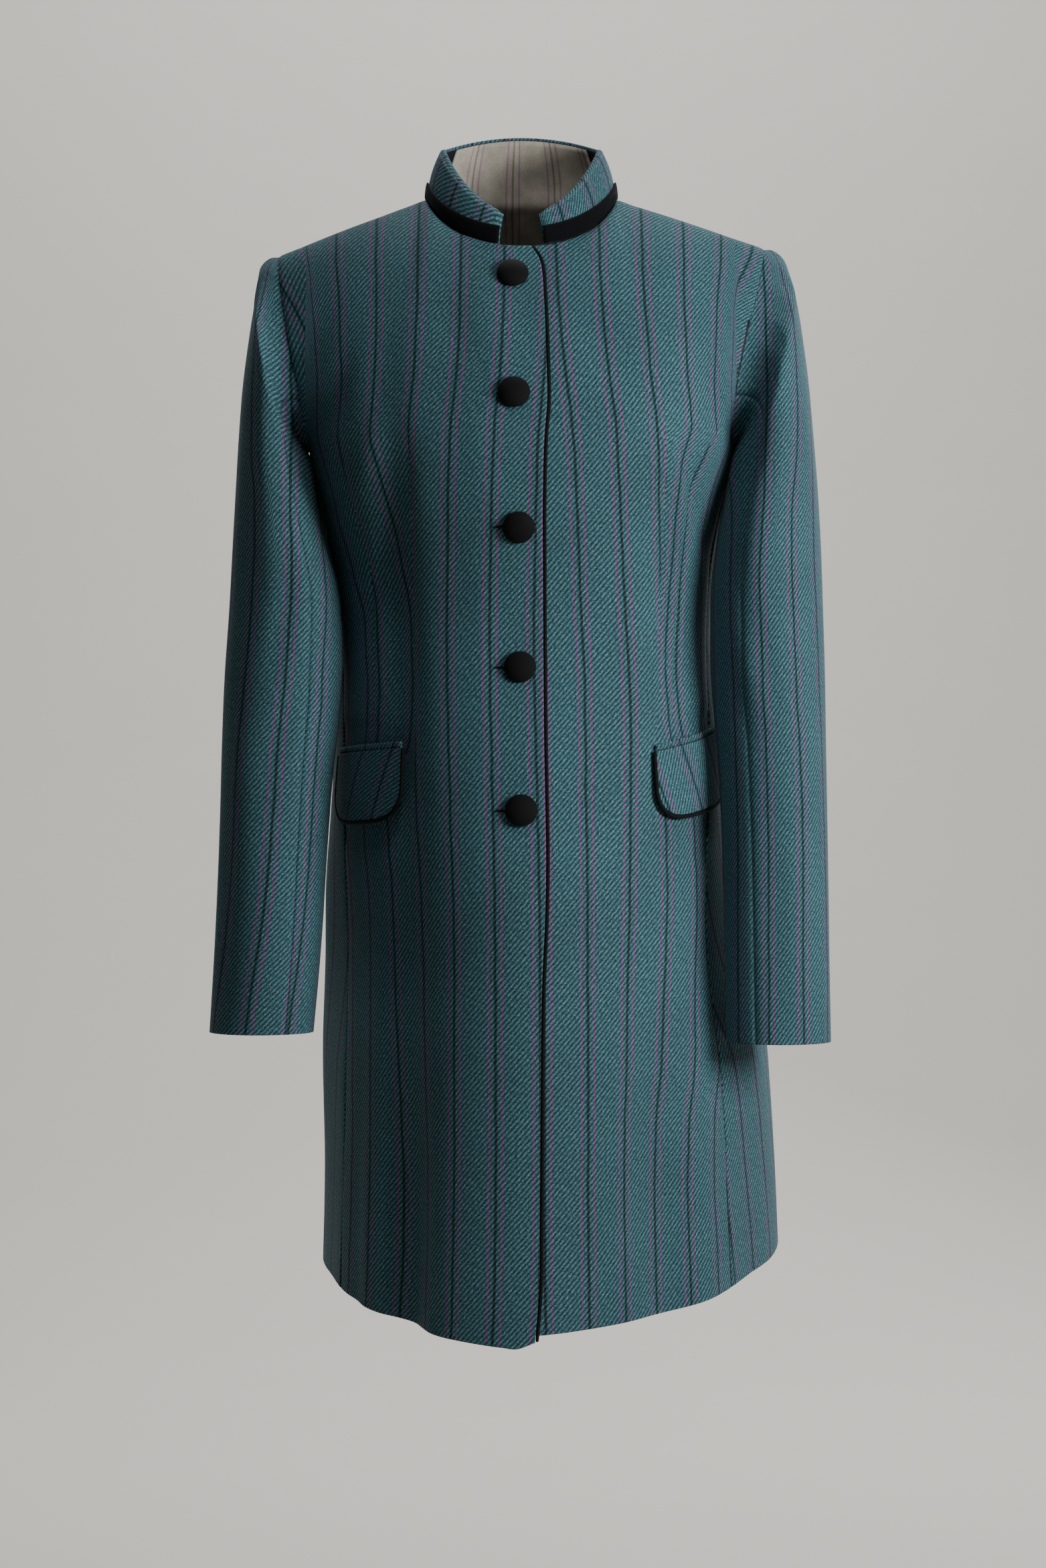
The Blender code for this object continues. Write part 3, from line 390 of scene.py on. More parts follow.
class JacketSizes(bpy.types.PropertyGroup):
    """Sizes that change how the cloth looks."""
    body_wall: bpy.props.FloatProperty(
        name="Body cloth", description="Thickness of the fronts and the back with their lining",
        default=2.0 * MM, min=0.5 * MM, max=4.0 * MM, unit="LENGTH")
    sleeve_wall: bpy.props.FloatProperty(
        name="Sleeve cloth", description="Thickness of the sleeves with their lining",
        default=1.8 * MM, min=0.5 * MM, max=4.0 * MM, unit="LENGTH")
    facing_wall: bpy.props.FloatProperty(
        name="Facing cloth", description="Thickness of the facing inside the neck",
        default=1.2 * MM, min=0.5 * MM, max=2.0 * MM, unit="LENGTH")
    stripe_repeat: bpy.props.FloatProperty(
        name="Stripe repeat", description="Distance from one dark stripe to the next",
        default=34.3 * MM, min=5.0 * MM, max=80.0 * MM, unit="LENGTH")
    pin_distance: bpy.props.FloatProperty(
        name="Pin-stripe distance", description="Distance of a pin-stripe from its dark stripe",
        default=5.2 * MM, min=1.0 * MM, max=15.0 * MM, unit="LENGTH")
    twill_pitch: bpy.props.FloatProperty(
        name="Twill pitch", description="Upright distance from one twill ridge to the next",
        default=4.6 * MM, min=0.5 * MM, max=9.0 * MM, unit="LENGTH")
    crease_depth: bpy.props.FloatProperty(
        name="Crease depth", description="Depth of the creases, 1 as worn",
        default=1.0, min=0.0, max=2.0)


class JacketColours(bpy.types.PropertyGroup):
    """Colours of the cloths and the floor."""
    wool_shade: colour_property("Wool shade", "Darkest yarns of the twill", "#0F2329")
    wool_body: colour_property("Wool body", "Main colour of the twill", "#33606A")
    wool_light: colour_property("Wool light", "Pale yarns of the twill", "#7FABB3")
    dark_stripe: colour_property("Dark stripe", "Near-black stripe", "#0E1519")
    pin_stripe: colour_property("Pin-stripe", "Magenta pin-stripe", "#9A4A93")
    velvet: colour_property("Velvet", "Black cotton velvet of the band", "#07080B")
    piping: colour_property("Piping", "Black cotton piping", "#08090B")
    button: colour_property("Button cover", "Black cloth of the buttons", "#040507")
    facing: colour_property("Facing", "Pale cloth inside the neck", "#C2BCAC")
    # The lining's dark colour also stands as painted shade on the inside of the collar
    lining: colour_property("Lining", "Dark satin inside the jacket", "#151B20")
    floor: colour_property("Floor", "Pale floor and backdrop", "#D9D5CE")


# Smooth curves and tables

def hermite(places, values, slopes, at):
    """Values on the smooth curve with these slopes at its knots."""
    at = np.clip(np.asarray(at, float), places[0], places[-1])
    index = np.clip(np.searchsorted(places, at, side="right") - 1, 0, len(places) - 2)
    step = places[index + 1] - places[index]
    t = (at - places[index]) / step
    grow = (Ellipsis,) + (None,) * (values.ndim - 1)
    t, step = t[grow], step[grow]
    return ((1 + 2 * t) * (1 - t) ** 2 * values[index] + t * (1 - t) ** 2 * step * slopes[index]
            + t * t * (3 - 2 * t) * values[index + 1] + t * t * (t - 1) * step * slopes[index + 1])


def knots_of(places, values):
    places, values = np.asarray(places, float), np.asarray(values, float)
    steps = np.diff(places).reshape((-1,) + (1,) * (values.ndim - 1))
    return places, values, steps, np.diff(values, axis=0) / steps


def held_curve(places, values, at):
    """Smooth curve through rising knots that never overshoots them."""
    places, values, steps, rates = knots_of(places, values)
    before, after, near, far = rates[:-1], rates[1:], steps[:-1], steps[1:]
    same = before * after > 0.0
    weighed = (far + 2 * near) / np.where(same, before, 1.0) + (2 * far + near) / np.where(same, after, 1.0)
    inner = np.where(same, 3.0 * (near + far) / np.where(same, weighed, 1.0), 0.0)
    return hermite(places, values, np.concatenate([rates[:1], inner, rates[-1:]]), at)


def free_curve(places, values, at):
    """Smooth curve through rising knots, evenly bent at each."""
    places, values, steps, rates = knots_of(places, values)
    inner = (steps[1:] * rates[:-1] + steps[:-1] * rates[1:]) / (steps[1:] + steps[:-1])
    return hermite(places, values, np.concatenate([rates[:1], inner, rates[-1:]]), at)


def table(rows, columns, name, at):
    """A named column of a table at places in its first column."""
    ordered = sorted(rows)
    index = columns.index(name)
    return held_curve([row[0] for row in ordered], [row[index] for row in ordered], at)


def pairs(rows, at):
    """Value at places in a short table of pairs."""
    return held_curve([row[0] for row in rows], [row[1] for row in rows], at)


def eased(value):
    """Smooth step from 0 to 1."""
    value = np.clip(value, 0.0, 1.0)
    return value * value * (3.0 - 2.0 * value)


def runs(points):
    """Length run at each point of a line."""
    return np.concatenate([[0.0], np.cumsum(np.linalg.norm(np.diff(points, axis=0), axis=1))])


def points_at(knots, shares):
    """Points at shares of the length of a smooth curve through the knots."""
    knots = np.asarray(knots, float)
    places = runs(knots)
    line = held_curve(places, knots, np.linspace(0.0, places[-1], CURVE_STEPS + 1))
    lengths = runs(line)
    wanted = np.asarray(shares) * lengths[-1]
    return np.stack([np.interp(wanted, lengths, line[:, axis]) for axis in range(3)], axis=-1)


def unit(vectors):
    return vectors / np.maximum(np.linalg.norm(vectors, axis=-1, keepdims=True), 1e-9)


# Surface of the body, as the jacket's solids have it

def body(name, height):
    return table(BODY_ROWS, BODY_COLUMNS, name, height)


def flutes(angle, height):
    out = 0.0
    for centre, width, depth, top in FLUTES:
        turn = (angle - centre + 180.0) % 360.0 - 180.0
        out = out + depth * np.exp(-(turn / width) ** 2) * eased((top - height) / (top + 860.0))
    return out


def body_points(angle, height):
    """Outer surface of the body; the angle runs from the centre front, plus towards the left."""
    angle, height = np.broadcast_arrays(np.asarray(angle, float), np.asarray(height, float))
    wide = np.where(angle < 0.0, body("right", height), body("left", height))
    widest = body("widest", height)
    front = np.abs(angle) <= 90.0
    reach = np.where(front, body("front", height), body("back", height)) - widest
    power = 2.0 / np.where(front, body("front_fullness", height), body("back_fullness", height))
    sine, cosine = np.sin(np.radians(angle)), np.cos(np.radians(angle))
    across = np.sign(sine) * wide * np.abs(sine) ** power
    along = reach * np.abs(cosine) ** power
    outward = unit(np.stack([across / wide ** 2, along / reach ** 2, np.zeros_like(wide)], axis=-1))
    points = np.stack([across, widest + along, height], axis=-1)
    return points + outward * flutes(angle, height)[..., None]


def body_angle(across, height):
    """Angle at which the front of the body lies this far across."""
    across = np.asarray(across, float)
    wide = np.where(across < 0.0, body("right", height), body("left", height))
    share = np.minimum(1.0, np.abs(across) / wide) ** (body("front_fullness", height) / 2.0)
    return np.sign(across) * np.degrees(np.arcsin(share))


def hem_height(angle):
    size = np.abs(angle)
    return np.where(angle < 0.0, table(HEM_ROWS, HEM_COLUMNS, "right", size),
                    table(HEM_ROWS, HEM_COLUMNS, "left", size))


def neck_points(turn):
    """Neck seam at turns from the centre front, 90 at the shoulder, 180 at the centre back."""
    sine, cosine = np.sin(np.radians(turn)), np.cos(np.radians(turn))
    ahead = np.maximum(cosine, 0.0)
    across = np.sign(sine) * NECK_HALF_WIDTH * np.abs(sine) ** 0.95
    along = np.where(cosine > 0.0, -NECK_FRONT_DEPTH * cosine, -NECK_BACK_DEPTH * cosine)
    height = np.where(cosine > 0.0, -NECK_FRONT_DROP * ahead ** 1.25, -NECK_BACK_RISE * cosine)
    return np.stack([across, along, height], axis=-1)


def row_through(centre, neck, arm, share):
    """Points across the chest, flat at the centre and bent towards the armhole."""
    first = (neck - centre) / NECK_SHARE
    start = np.array((first[0], 0.0, 0.5 * first[2]))
    second = (arm - neck) / (1.0 - NECK_SHARE)
    middle = first + (second - first) * NECK_SHARE
    return hermite(np.array((0.0, NECK_SHARE, 1.0)), np.stack((centre, neck, arm)),
                   np.stack((start, middle, 2.0 * second - middle)), share)


def column_shares(edge):
    """Shares of the way from the centre to the armhole at the columns of the cut."""
    low = edge + (NECK_SHARE - edge) * np.arange(NECK_COLUMNS + 1) / NECK_COLUMNS
    high = NECK_SHARE + (1.0 - NECK_SHARE) * np.arange(1, SHOULDER_COLUMNS + 1) / SHOULDER_COLUMNS
    return np.concatenate([low, high])


def chest_rows(side, centre, neck, arm, turn_at, angle_at, edge_at):
    """Rows from the neck and shoulder seams down to the underarm, outwards from the centre."""
    tip = np.array(SHOULDER_TIP[side])
    start = np.array((NECK_HALF_WIDTH, 0.0, 0.0))

    def top_at(share):
        along = np.clip((share - NECK_SHARE) / (1.0 - NECK_SHARE), 0.0, 1.0)[:, None]
        shoulder = start + (tip - start) * along
        shoulder[:, 2] -= SHOULDER_HOLLOW * np.sin(math.pi * along[:, 0])
        seam = neck_points(turn_at(np.minimum(share / NECK_SHARE, 1.0)))
        return np.where((share <= NECK_SHARE)[:, None], seam, shoulder)

    def bottom_at(share):
        points = body_points(side * angle_at(share), UNDERARM_HEIGHT)
        return points * np.array((side, 1.0, 1.0))

    low_neck = bottom_at(np.array([NECK_SHARE]))[0]
    lines = (points_at(centre, CHEST_STEPS), points_at(neck + (tuple(low_neck),), CHEST_STEPS),
             points_at((SHOULDER_TIP[side],) + arm + (UNDERARM,), CHEST_STEPS))

    def points_of(row, share):
        size = np.abs(share)
        fall = CHEST_STEPS[row]
        point = row_through(*(line[row] for line in lines), size)
        above = top_at(size) - row_through(*(line[0] for line in lines), size)
        below = bottom_at(size) - row_through(*(line[-1] for line in lines), size)
        point = point + above * (1.0 - fall) ** 3 + below * fall ** 3
        point[:, 0] *= np.where(share < 0.0, -1.0, 1.0)
        return point

    rows = []
    fine = np.linspace(0.0, NECK_SHARE, CURVE_STEPS)
    for row in range(len(CHEST_STEPS)):
        wanted = abs(edge_at(lines[0][row][2]))
        edge = -np.interp(wanted, points_of(row, fine)[:, 0], fine)
        rows.append(points_of(row, column_shares(edge)))
    return rows


def front_edge(side, height):
    """Signed distance of a front's free edge from the centre, plus towards its own side."""
    return np.full_like(height, -UNDER_LAP) if side > 0 else -pairs(FRONT_EDGE, height)


def skirt_rows(side, angle_at):
    """Rows from the underarm to the hem."""
    rows = []
    for step in range(1, SKIRT_ROWS + 1):
        level = np.full(NECK_COLUMNS + SHOULDER_COLUMNS + 1, UNDERARM_HEIGHT)
        for _ in range(3):
            angle = angle_at(level)
            end = hem_height(side * np.maximum(angle, 0.001))
            level = UNDERARM_HEIGHT + (end - UNDERARM_HEIGHT) * step / SKIRT_ROWS
        rows.append(body_points(side * angle, level) * np.array((side, 1.0, 1.0)))
    return rows


def front_cut(side):
    """Control points of a front, from its free edge to the side seam, mirrored to the left."""
    seam_name = "seam_left" if side > 0 else "seam_right"
    shares = np.arange(NECK_COLUMNS + SHOULDER_COLUMNS + 1)

    def angle_at(height):
        edge = side * body_angle(side * front_edge(side, height), height)
        seam = body(seam_name, height)
        middle = NECK_SHARE * seam
        return np.where(shares <= NECK_COLUMNS, edge + (middle - edge) * shares / NECK_COLUMNS,
                        middle + (seam - middle) * (shares - NECK_COLUMNS) / SHOULDER_COLUMNS)

    def quarter(share):
        return 90.0 * share

    rows = chest_rows(side, CENTRE_FRONT, CHEST_LINE, ARMHOLE_FRONT[side], quarter, quarter,
                      lambda height: front_edge(side, np.array(height)))
    cut = np.stack(rows + skirt_rows(side, angle_at))
    if side < 0:
        fade = eased((cut[..., 0] - LAP_FLAT) / (LAP_FADE - LAP_FLAT))
        cut[..., 1] -= UPPER_LAP_RISE * (1.0 - fade)
    cut[-1, 0, 2] += LAP_CORNER[side]
    return cut


def back_cut(side):
    """Control points of one half of the back, outwards from the centre back."""
    seam_name = "seam_left" if side > 0 else "seam_right"

    def angle_at(height):
        return 180.0 - (180.0 - body(seam_name, height)) * column_shares(0.0)

    def half(share):
        return 180.0 - 90.0 * share

    rows = chest_rows(side, CENTRE_BACK, BLADE_LINE, ARMHOLE_BACK[side], half, half,
                      lambda height: np.array(0.0))
    return np.stack(rows + skirt_rows(side, angle_at))


def tube_points(side, angle, height):
    """Points of a hanging sleeve's tube; 0 is its outer edge and 90 its front."""
    outer, inner, front, back = (table(SLEEVE_ROWS[side], SLEEVE_COLUMNS, name, height)
                                 for name in SLEEVE_COLUMNS[1:])
    turn = np.radians(angle)
    return np.stack([(outer + inner) / 2 + (outer - inner) / 2 * np.cos(turn),
                     (front + back) / 2 + (front - back) / 2 * np.sin(turn),
                     np.broadcast_to(height, np.shape(outer))], axis=-1)


def sleeve_cut(side, front, back):
    """Control rings of a sleeve from the armhole to the cuff, and their angles."""
    last = len(CHEST_STEPS) - 1
    loop = np.concatenate([front[:last + 1, -1], back[last - 1:0:-1, -1]])
    before = np.concatenate([front[:last + 1, -2], back[last - 1:0:-1, -2]])
    angles = np.array(RING_ANGLES + tuple(360 - angle for angle in RING_ANGLES[-2:0:-1]), float)
    along = unit(np.roll(loop, -1, axis=0) - np.roll(loop, 1, axis=0))
    out = loop - before
    out = unit(out - along * (out * along).sum(axis=-1, keepdims=True))
    low = eased((UNDERARM_TURN - loop[:, 2]) / UNDERARM_TURN_DEPTH)[:, None]
    starts = unit(out + (np.array(UNDERARM_START) - out) * low)
    rings = []
    for distance in SLEEVE_STEPS + (SLEEVE_LENGTH,):
        height = loop[:, 2] + (CUFF_HEIGHT[side] - loop[:, 2]) * distance / SLEEVE_LENGTH
        settled = eased((distance - HEAD_START) / HEAD_ROLL)
        leaving = loop + starts * distance
        rings.append(leaving + (tube_points(side, angles, height) - leaving) * settled)
    return np.stack(rings), angles


# Fine grids of cloth

def edge_places(length, count):
    """Places along a length in equal steps, with a close one beside each end."""
    inner = np.linspace(EDGE_MARGIN, length - EDGE_MARGIN, count + 1)
    return np.concatenate([[0.0], inner, [length]])


def fine_rows(cut, count):
    """More rows through the control points, evenly spaced down the cloth."""
    gaps = np.linalg.norm(np.diff(cut, axis=0), axis=-1).mean(axis=1)
    places = np.concatenate([[0.0], np.cumsum(gaps)])
    return free_curve(places, cut, edge_places(places[-1], count))


def across_rows(rows, places):
    """Points at these column places of each row."""
    columns = np.arange(rows.shape[1])
    return np.stack([free_curve(columns, row, place) for row, place in zip(rows, places)])


def spans(edges, counts):
    """Column places that split the parts between these edges into equal steps, row by row."""
    parts = [edges[:, :1]]
    for i, count in enumerate(counts):
        share = np.arange(1, count + 1) / count
        parts.append(edges[:, i:i + 1] + (edges[:, i + 1:i + 2] - edges[:, i:i + 1]) * share)
    places = np.concatenate(parts, axis=1)
    margin = EDGE_MARGIN / 12.0
    return np.concatenate([places[:, :1], places[:, :1] + margin, places[:, 1:-1],
                           places[:, -1:] - margin, places[:, -1:]], axis=1)


def line_places(rows, line, low, high):
    """Column places at which a line of the cut crosses each row."""
    columns = np.arange(rows.shape[1])
    found = [np.interp(0.0, row[:, 0] - pairs(line, row[:, 2]), columns) for row in rows]
    return np.clip(np.array(found), low, high)


def outward(points, turned):
    """Outward direction at each point of a grid."""
    across = np.gradient(points, axis=1)
    down = np.gradient(points, axis=0)
    return unit(np.cross(across, down) if turned else np.cross(down, across))


def crease_amount(side, part, across, height, depth):
    """How far the listed creases move each point."""
    amount = np.zeros_like(across)
    for crease_side, crease_part, x, z, length, width, lean, deep in CREASES:
        if crease_side != side or crease_part != part:
            continue
        turn = math.radians(lean)
        right, up = across - x, height - z
        along = up * math.cos(turn) + right * math.sin(turn)
        over = right * math.cos(turn) - up * math.sin(turn)
        amount += deep * np.exp(-(over / width) ** 2 - (along / length) ** 2)
    return amount * depth


def unevenness(across, height):
    """Slow waves under a millimetre deep that keep a broad panel from looking machined."""
    return (0.35 * np.sin(across / 31.0 + height / 57.0) * np.sin(height / 43.0 - across / 90.0)
            + 0.25 * np.sin(across / 17.0 - height / 39.0 + 1.3) * np.sin(height / 71.0 + 0.4))


def side_fill(side, points):
    """How far the side of the waist is rounded out behind the arm."""
    near = np.exp(-((points[..., 1] - SIDE_FILL_PLACE) / SIDE_FILL_REACH) ** 2)
    return pairs(SIDE_FILL[side], points[..., 2]) * near * eased((side * points[..., 0] - 100.0) / 30.0)


def trough(distance, depth=SEAM_DEPTH, width=SEAM_WIDTH):
    """Dip beside a seam."""
    return -depth * np.exp(-(distance / width) ** 2)


def upright_runs(points, middle):
    """Length down the cloth as seen from the side, level across the piece below the shoulders."""
    steps = np.diff(points, axis=0)
    lengths = np.hypot(steps[..., 1], steps[..., 2])
    run = np.concatenate([np.zeros((1, points.shape[1])), np.cumsum(lengths, axis=0)])
    fall = -points[..., 2]
    level = np.interp(fall, fall[:, middle], run[:, middle]) + np.maximum(0.0, fall - fall[-1, middle])
    # Over the shoulders each column is measured up from the same level line
    start = np.array([np.interp(-LEVEL_TOP, fall[:, c], run[:, c]) for c in range(points.shape[1])])
    return np.where(fall < -LEVEL_TOP, run - start + start[middle], level)


def level_runs(points, start):
    """Length along each row as seen from above, from where it crosses the centre line."""
    steps = np.diff(points, axis=1)
    lengths = np.concatenate([np.zeros((len(points), 1)), np.cumsum(np.hypot(steps[..., 0], steps[..., 1]),
                                                                      axis=1)], axis=1)
    if start:
        return lengths - lengths[:, :1]
    zero = np.array([np.interp(0.0, row[:, 0], run) for row, run in zip(points, lengths)])
    return lengths - zero[:, None]


def cloth_runs(points, from_edge):
    """Length across the cloth at each point, with the chest's stripes hanging straight."""
    run = level_runs(points, from_edge)
    across, height = points[..., 0], points[..., 2]
    row = int(np.argmin(np.abs(height.mean(axis=1) - UNDERARM_HEIGHT)))
    extra = np.interp(np.abs(across), np.abs(across[row, across[row] >= 0.0]),
                      run[row, across[row] >= 0.0] - across[row, across[row] >= 0.0])
    straight = across + np.sign(across) * extra * pairs(CHEST_CURVE, height)
    settled = eased((UNDERARM_HEIGHT + 20.0 - height) / 30.0)
    return straight + (run - straight) * settled


def panel_object(name, points, before, after, upright, outside, material, lining=None, wall=0.0):
    """Cloth through a fine grid; before and after are the pattern's places on the two sides of a column."""
    rows, columns = points.shape[:2]
    shape = bmesh.new()
    bmesh.ops.create_grid(shape, x_segments=columns - 1, y_segments=rows - 1, size=1.0)
    if outside > 0:
        bmesh.ops.reverse_faces(shape, faces=shape.faces)
    mesh = bpy.data.meshes.new(name)
    shape.to_mesh(mesh)
    shape.free()
    mesh.vertices.foreach_set("co", (points * MM).astype(np.float32).ravel())
    corners = np.zeros(len(mesh.loops), np.int32)
    mesh.loops.foreach_get("vertex_index", corners)
    column = (corners % columns).reshape(-1, 4)
    first = (column == column.min(axis=1, keepdims=True)).ravel()
    row_index, column_index = corners // columns, corners % columns
    across = np.where(first, after[row_index, column_index], before[row_index, column_index])
    places = np.stack([across, upright[row_index, column_index]], axis=-1) * MM
    layer = mesh.uv_layers.new(name="cloth")
    layer.data.foreach_set("uv", places.astype(np.float32).ravel())
    mesh.materials.append(material)
    if lining:
        mesh.materials.append(lining)
    mesh.shade_smooth()
    mesh.update()
    piece = bpy.data.objects.new(name, mesh)
    bpy.context.scene.collection.objects.link(piece)
    if wall:
        solid = piece.modifiers.new("wall", "SOLIDIFY")
        solid.thickness = wall
        solid.offset = -1.0
        solid.material_offset = 1 if lining else 0
    return piece


def declare(points):
    """Measures the flat size and area that a sheet's own grid gives; nothing further is done with them."""
    across = np.linalg.norm(np.diff(points, axis=1), axis=-1)
    down = np.linalg.norm(np.diff(points, axis=0), axis=-1)
    widest = across.sum(axis=1).max() * MM
    # A welt shows only half of the narrow strip that it is folded from
    longest = max(down.sum(axis=0).max() * MM, NARROWEST_STRIP)
    side_a = points[1:, :-1] - points[:-1, :-1]
    side_b = points[:-1, 1:] - points[:-1, :-1]
    area = np.linalg.norm(np.cross(side_a, side_b), axis=-1).sum() * MM * MM
    area = min(max(area, 0.31 * widest * longest), widest * longest)


def mount(piece, node):
    """Lets a finished piece ride on the jacket in place of its solid."""
    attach(piece, "root")
    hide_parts(node)


def mirrored(points, side):
    return points * np.array((side, 1.0, 1.0))


# Materials

def add_node(tree, kind, settings=None, inputs=None, output=0):
    """Adds a node with its settings, and its inputs as values or as links from outputs."""
    node = tree.nodes.new(kind)
    for key, value in (settings or {}).items():
        setattr(node, key, value)
    for key, value in (inputs or {}).items():
        if isinstance(value, bpy.types.NodeSocket):
            tree.links.new(value, node.inputs[key])
        else:
            node.inputs[key].default_value = value
    return node.outputs[output]


def new_material(name):
    """A material with its shader, or the one already made under that name."""
    material = bpy.data.materials.get(name)
    made = material is None
    if made:
        material = bpy.data.materials.new(name)
        material.use_nodes = True
    return material, material.node_tree, made


def opaque(colour):
    return tuple(colour) + (1.0,)


def stripe_distances(tree, x, sizes):
    """Distances in millimetres from the nearest dark stripe and from its pin-stripes."""
    def step(operation, inputs):
        return add_node(tree, "ShaderNodeMath", {"operation": operation}, inputs)

    repeat = sizes.stripe_repeat / MM
    count = step("DIVIDE", {0: x, 1: repeat})
    apart = step("ABSOLUTE", {0: step("SUBTRACT", {0: count, 1: step("ROUND", {0: count})})})
    apart = step("MULTIPLY", {0: apart, 1: repeat})
    return apart, step("ABSOLUTE", {0: step("SUBTRACT", {0: apart, 1: sizes.pin_distance / MM})})


def wool_twill(name="wool_twill_pinstripe"):
    """Woollen coating twill, woven from dyed yarns and lightly napped."""
    # Steep soft ridges with pale and dark yarns side by side; stripes woven into the warp
    material, tree, made = new_material(name)
    if not made:
        return material
    sizes, colours = bpy.context.scene.jacket_sizes, bpy.context.scene.jacket_colours
    math_node, vector_math, noise = "ShaderNodeMath", "ShaderNodeVectorMath", "ShaderNodeTexNoise"
    mix = "ShaderNodeMix"
    cloth = add_node(tree, "ShaderNodeUVMap", {"uv_map": "cloth"})
    place = add_node(tree, vector_math, {"operation": "SCALE"}, {0: cloth, "Scale": 1.0 / MM})
    slow = add_node(tree, noise, {}, {"Vector": place, "Scale": 0.03, "Detail": 1.0})
    shift = add_node(tree, math_node, {"operation": "MULTIPLY_ADD"}, {0: slow, 1: 1.6, 2: -0.8})
    x = add_node(tree, "ShaderNodeSeparateXYZ", {}, {0: place}, 0)
    y = add_node(tree, "ShaderNodeSeparateXYZ", {}, {0: place}, 1)
    x = add_node(tree, math_node, {"operation": "ADD"}, {0: x, 1: shift})
    # The ridges rise to the right at 48 degrees, as measured on the photographed cloth
    slope = add_node(tree, math_node, {"operation": "MULTIPLY"}, {0: x, 1: math.tan(math.radians(48.0))})
    rise = add_node(tree, math_node, {"operation": "SUBTRACT"}, {0: y, 1: slope})
    turns = add_node(tree, math_node, {"operation": "MULTIPLY"},
                     {0: rise, 1: 2.0 * math.pi / (sizes.twill_pitch / MM)})
    wave = add_node(tree, math_node, {"operation": "SINE"}, {0: turns})
    ridge = add_node(tree, "ShaderNodeMapRange", {"interpolation_type": "SMOOTHSTEP"},
                     {"Value": wave, "From Min": -0.9, "From Max": 0.8})
    # Yarn floats: short lengths along each ridge
    float_place = add_node(tree, "ShaderNodeCombineXYZ", {}, {0: rise, 1: x})
    float_place = add_node(tree, vector_math, {"operation": "MULTIPLY"}, {0: float_place, 1: (0.95, 0.42, 1.0)})
    floats = add_node(tree, noise, {}, {"Vector": float_place, "Scale": 1.0, "Detail": 2.0, "Roughness": 0.7})
    fleck = add_node(tree, noise, {}, {"Vector": place, "Scale": 0.85, "Detail": 2.0, "Roughness": 0.75})
    yarn = add_node(tree, mix, {"data_type": "FLOAT"}, {0: 0.55, 2: floats, 3: fleck})
    yarn = add_node(tree, "ShaderNodeMapRange", {}, {"Value": yarn, "From Min": 0.32, "From Max": 0.68})
    tone = add_node(tree, mix, {"data_type": "FLOAT"}, {0: 0.7, 2: ridge, 3: yarn})
    ramp = tree.nodes.new("ShaderNodeValToRGB")
    ramp.color_ramp.elements[0].position = 0.18
    ramp.color_ramp.elements[0].color = opaque(colours.wool_shade)
    ramp.color_ramp.elements[1].position = 0.92
    ramp.color_ramp.elements[1].color = opaque(colours.wool_light)
    ramp.color_ramp.elements.new(0.55).color = opaque(colours.wool_body)
    tree.links.new(tone, ramp.inputs[0])
    broad = add_node(tree, noise, {}, {"Vector": place, "Scale": 0.012, "Detail": 2.0})
    broad = add_node(tree, "ShaderNodeMapRange", {}, {"Value": broad, "From Min": 0.3, "From Max": 0.7,
                                                    "To Min": 0.9, "To Max": 1.1})
    ground = add_node(tree, vector_math, {"operation": "SCALE"}, {0: ramp.outputs[0], "Scale": broad})
    apart, off_pin = stripe_distances(tree, x, sizes)
    dark = add_node(tree, "ShaderNodeMapRange", {"interpolation_type": "SMOOTHSTEP"},
                    {"Value": apart, "From Min": 0.7, "From Max": 1.5, "To Min": 1.0, "To Max": 0.0})
    pin = add_node(tree, "ShaderNodeMapRange", {"interpolation_type": "SMOOTHSTEP"},
                   {"Value": off_pin, "From Min": 0.5, "From Max": 1.2, "To Min": 1.0, "To Max": 0.0})
    dash = add_node(tree, "ShaderNodeMapRange", {"interpolation_type": "SMOOTHSTEP"},
                    {"Value": wave, "From Min": -0.7, "From Max": 0.35})
    pin = add_node(tree, math_node, {"operation": "MULTIPLY"}, {0: pin, 1: dash})
    pin = add_node(tree, math_node, {"operation": "MULTIPLY"}, {0: pin, 1: 0.82})
    broken = add_node(tree, "ShaderNodeMapRange", {}, {"Value": wave, "From Min": -1.0, "From Max": 1.0,
                                                    "To Min": 1.0, "To Max": 0.62})
    dark = add_node(tree, math_node, {"operation": "MULTIPLY"}, {0: dark, 1: broken})
    striped = add_node(tree, mix, {"data_type": "RGBA"}, {0: dark, 6: ground, 7: opaque(colours.dark_stripe)}, 2)
    pin_tone = add_node(tree, "ShaderNodeMapRange", {}, {"Value": yarn, "To Min": 0.6, "To Max": 1.35})
    pin_colour = add_node(tree, vector_math, {"operation": "SCALE"},
                          {0: tuple(colours.pin_stripe), "Scale": pin_tone})
    striped = add_node(tree, mix, {"data_type": "RGBA"}, {0: pin, 6: striped, 7: pin_colour}, 2)
    height = add_node(tree, mix, {"data_type": "FLOAT"}, {0: 0.45, 2: ridge, 3: yarn})
    bump = add_node(tree, "ShaderNodeBump", {}, {"Strength": 0.55, "Distance": 0.4 * MM, "Height": height})
    rough = add_node(tree, "ShaderNodeMapRange", {}, {"Value": yarn, "To Min": 0.92, "To Max": 0.76})
    shader = tree.nodes["Principled BSDF"]
    tree.links.new(striped, shader.inputs["Base Color"])
    tree.links.new(rough, shader.inputs["Roughness"])
    tree.links.new(bump, shader.inputs["Normal"])
    shader.inputs["Specular IOR Level"].default_value = 0.3
    shader.inputs["Sheen Weight"].default_value = 0.16
    shader.inputs["Sheen Roughness"].default_value = 0.45
    shader.inputs["Sheen Tint"].default_value = opaque(linear("#A9C6CC"))
    return material


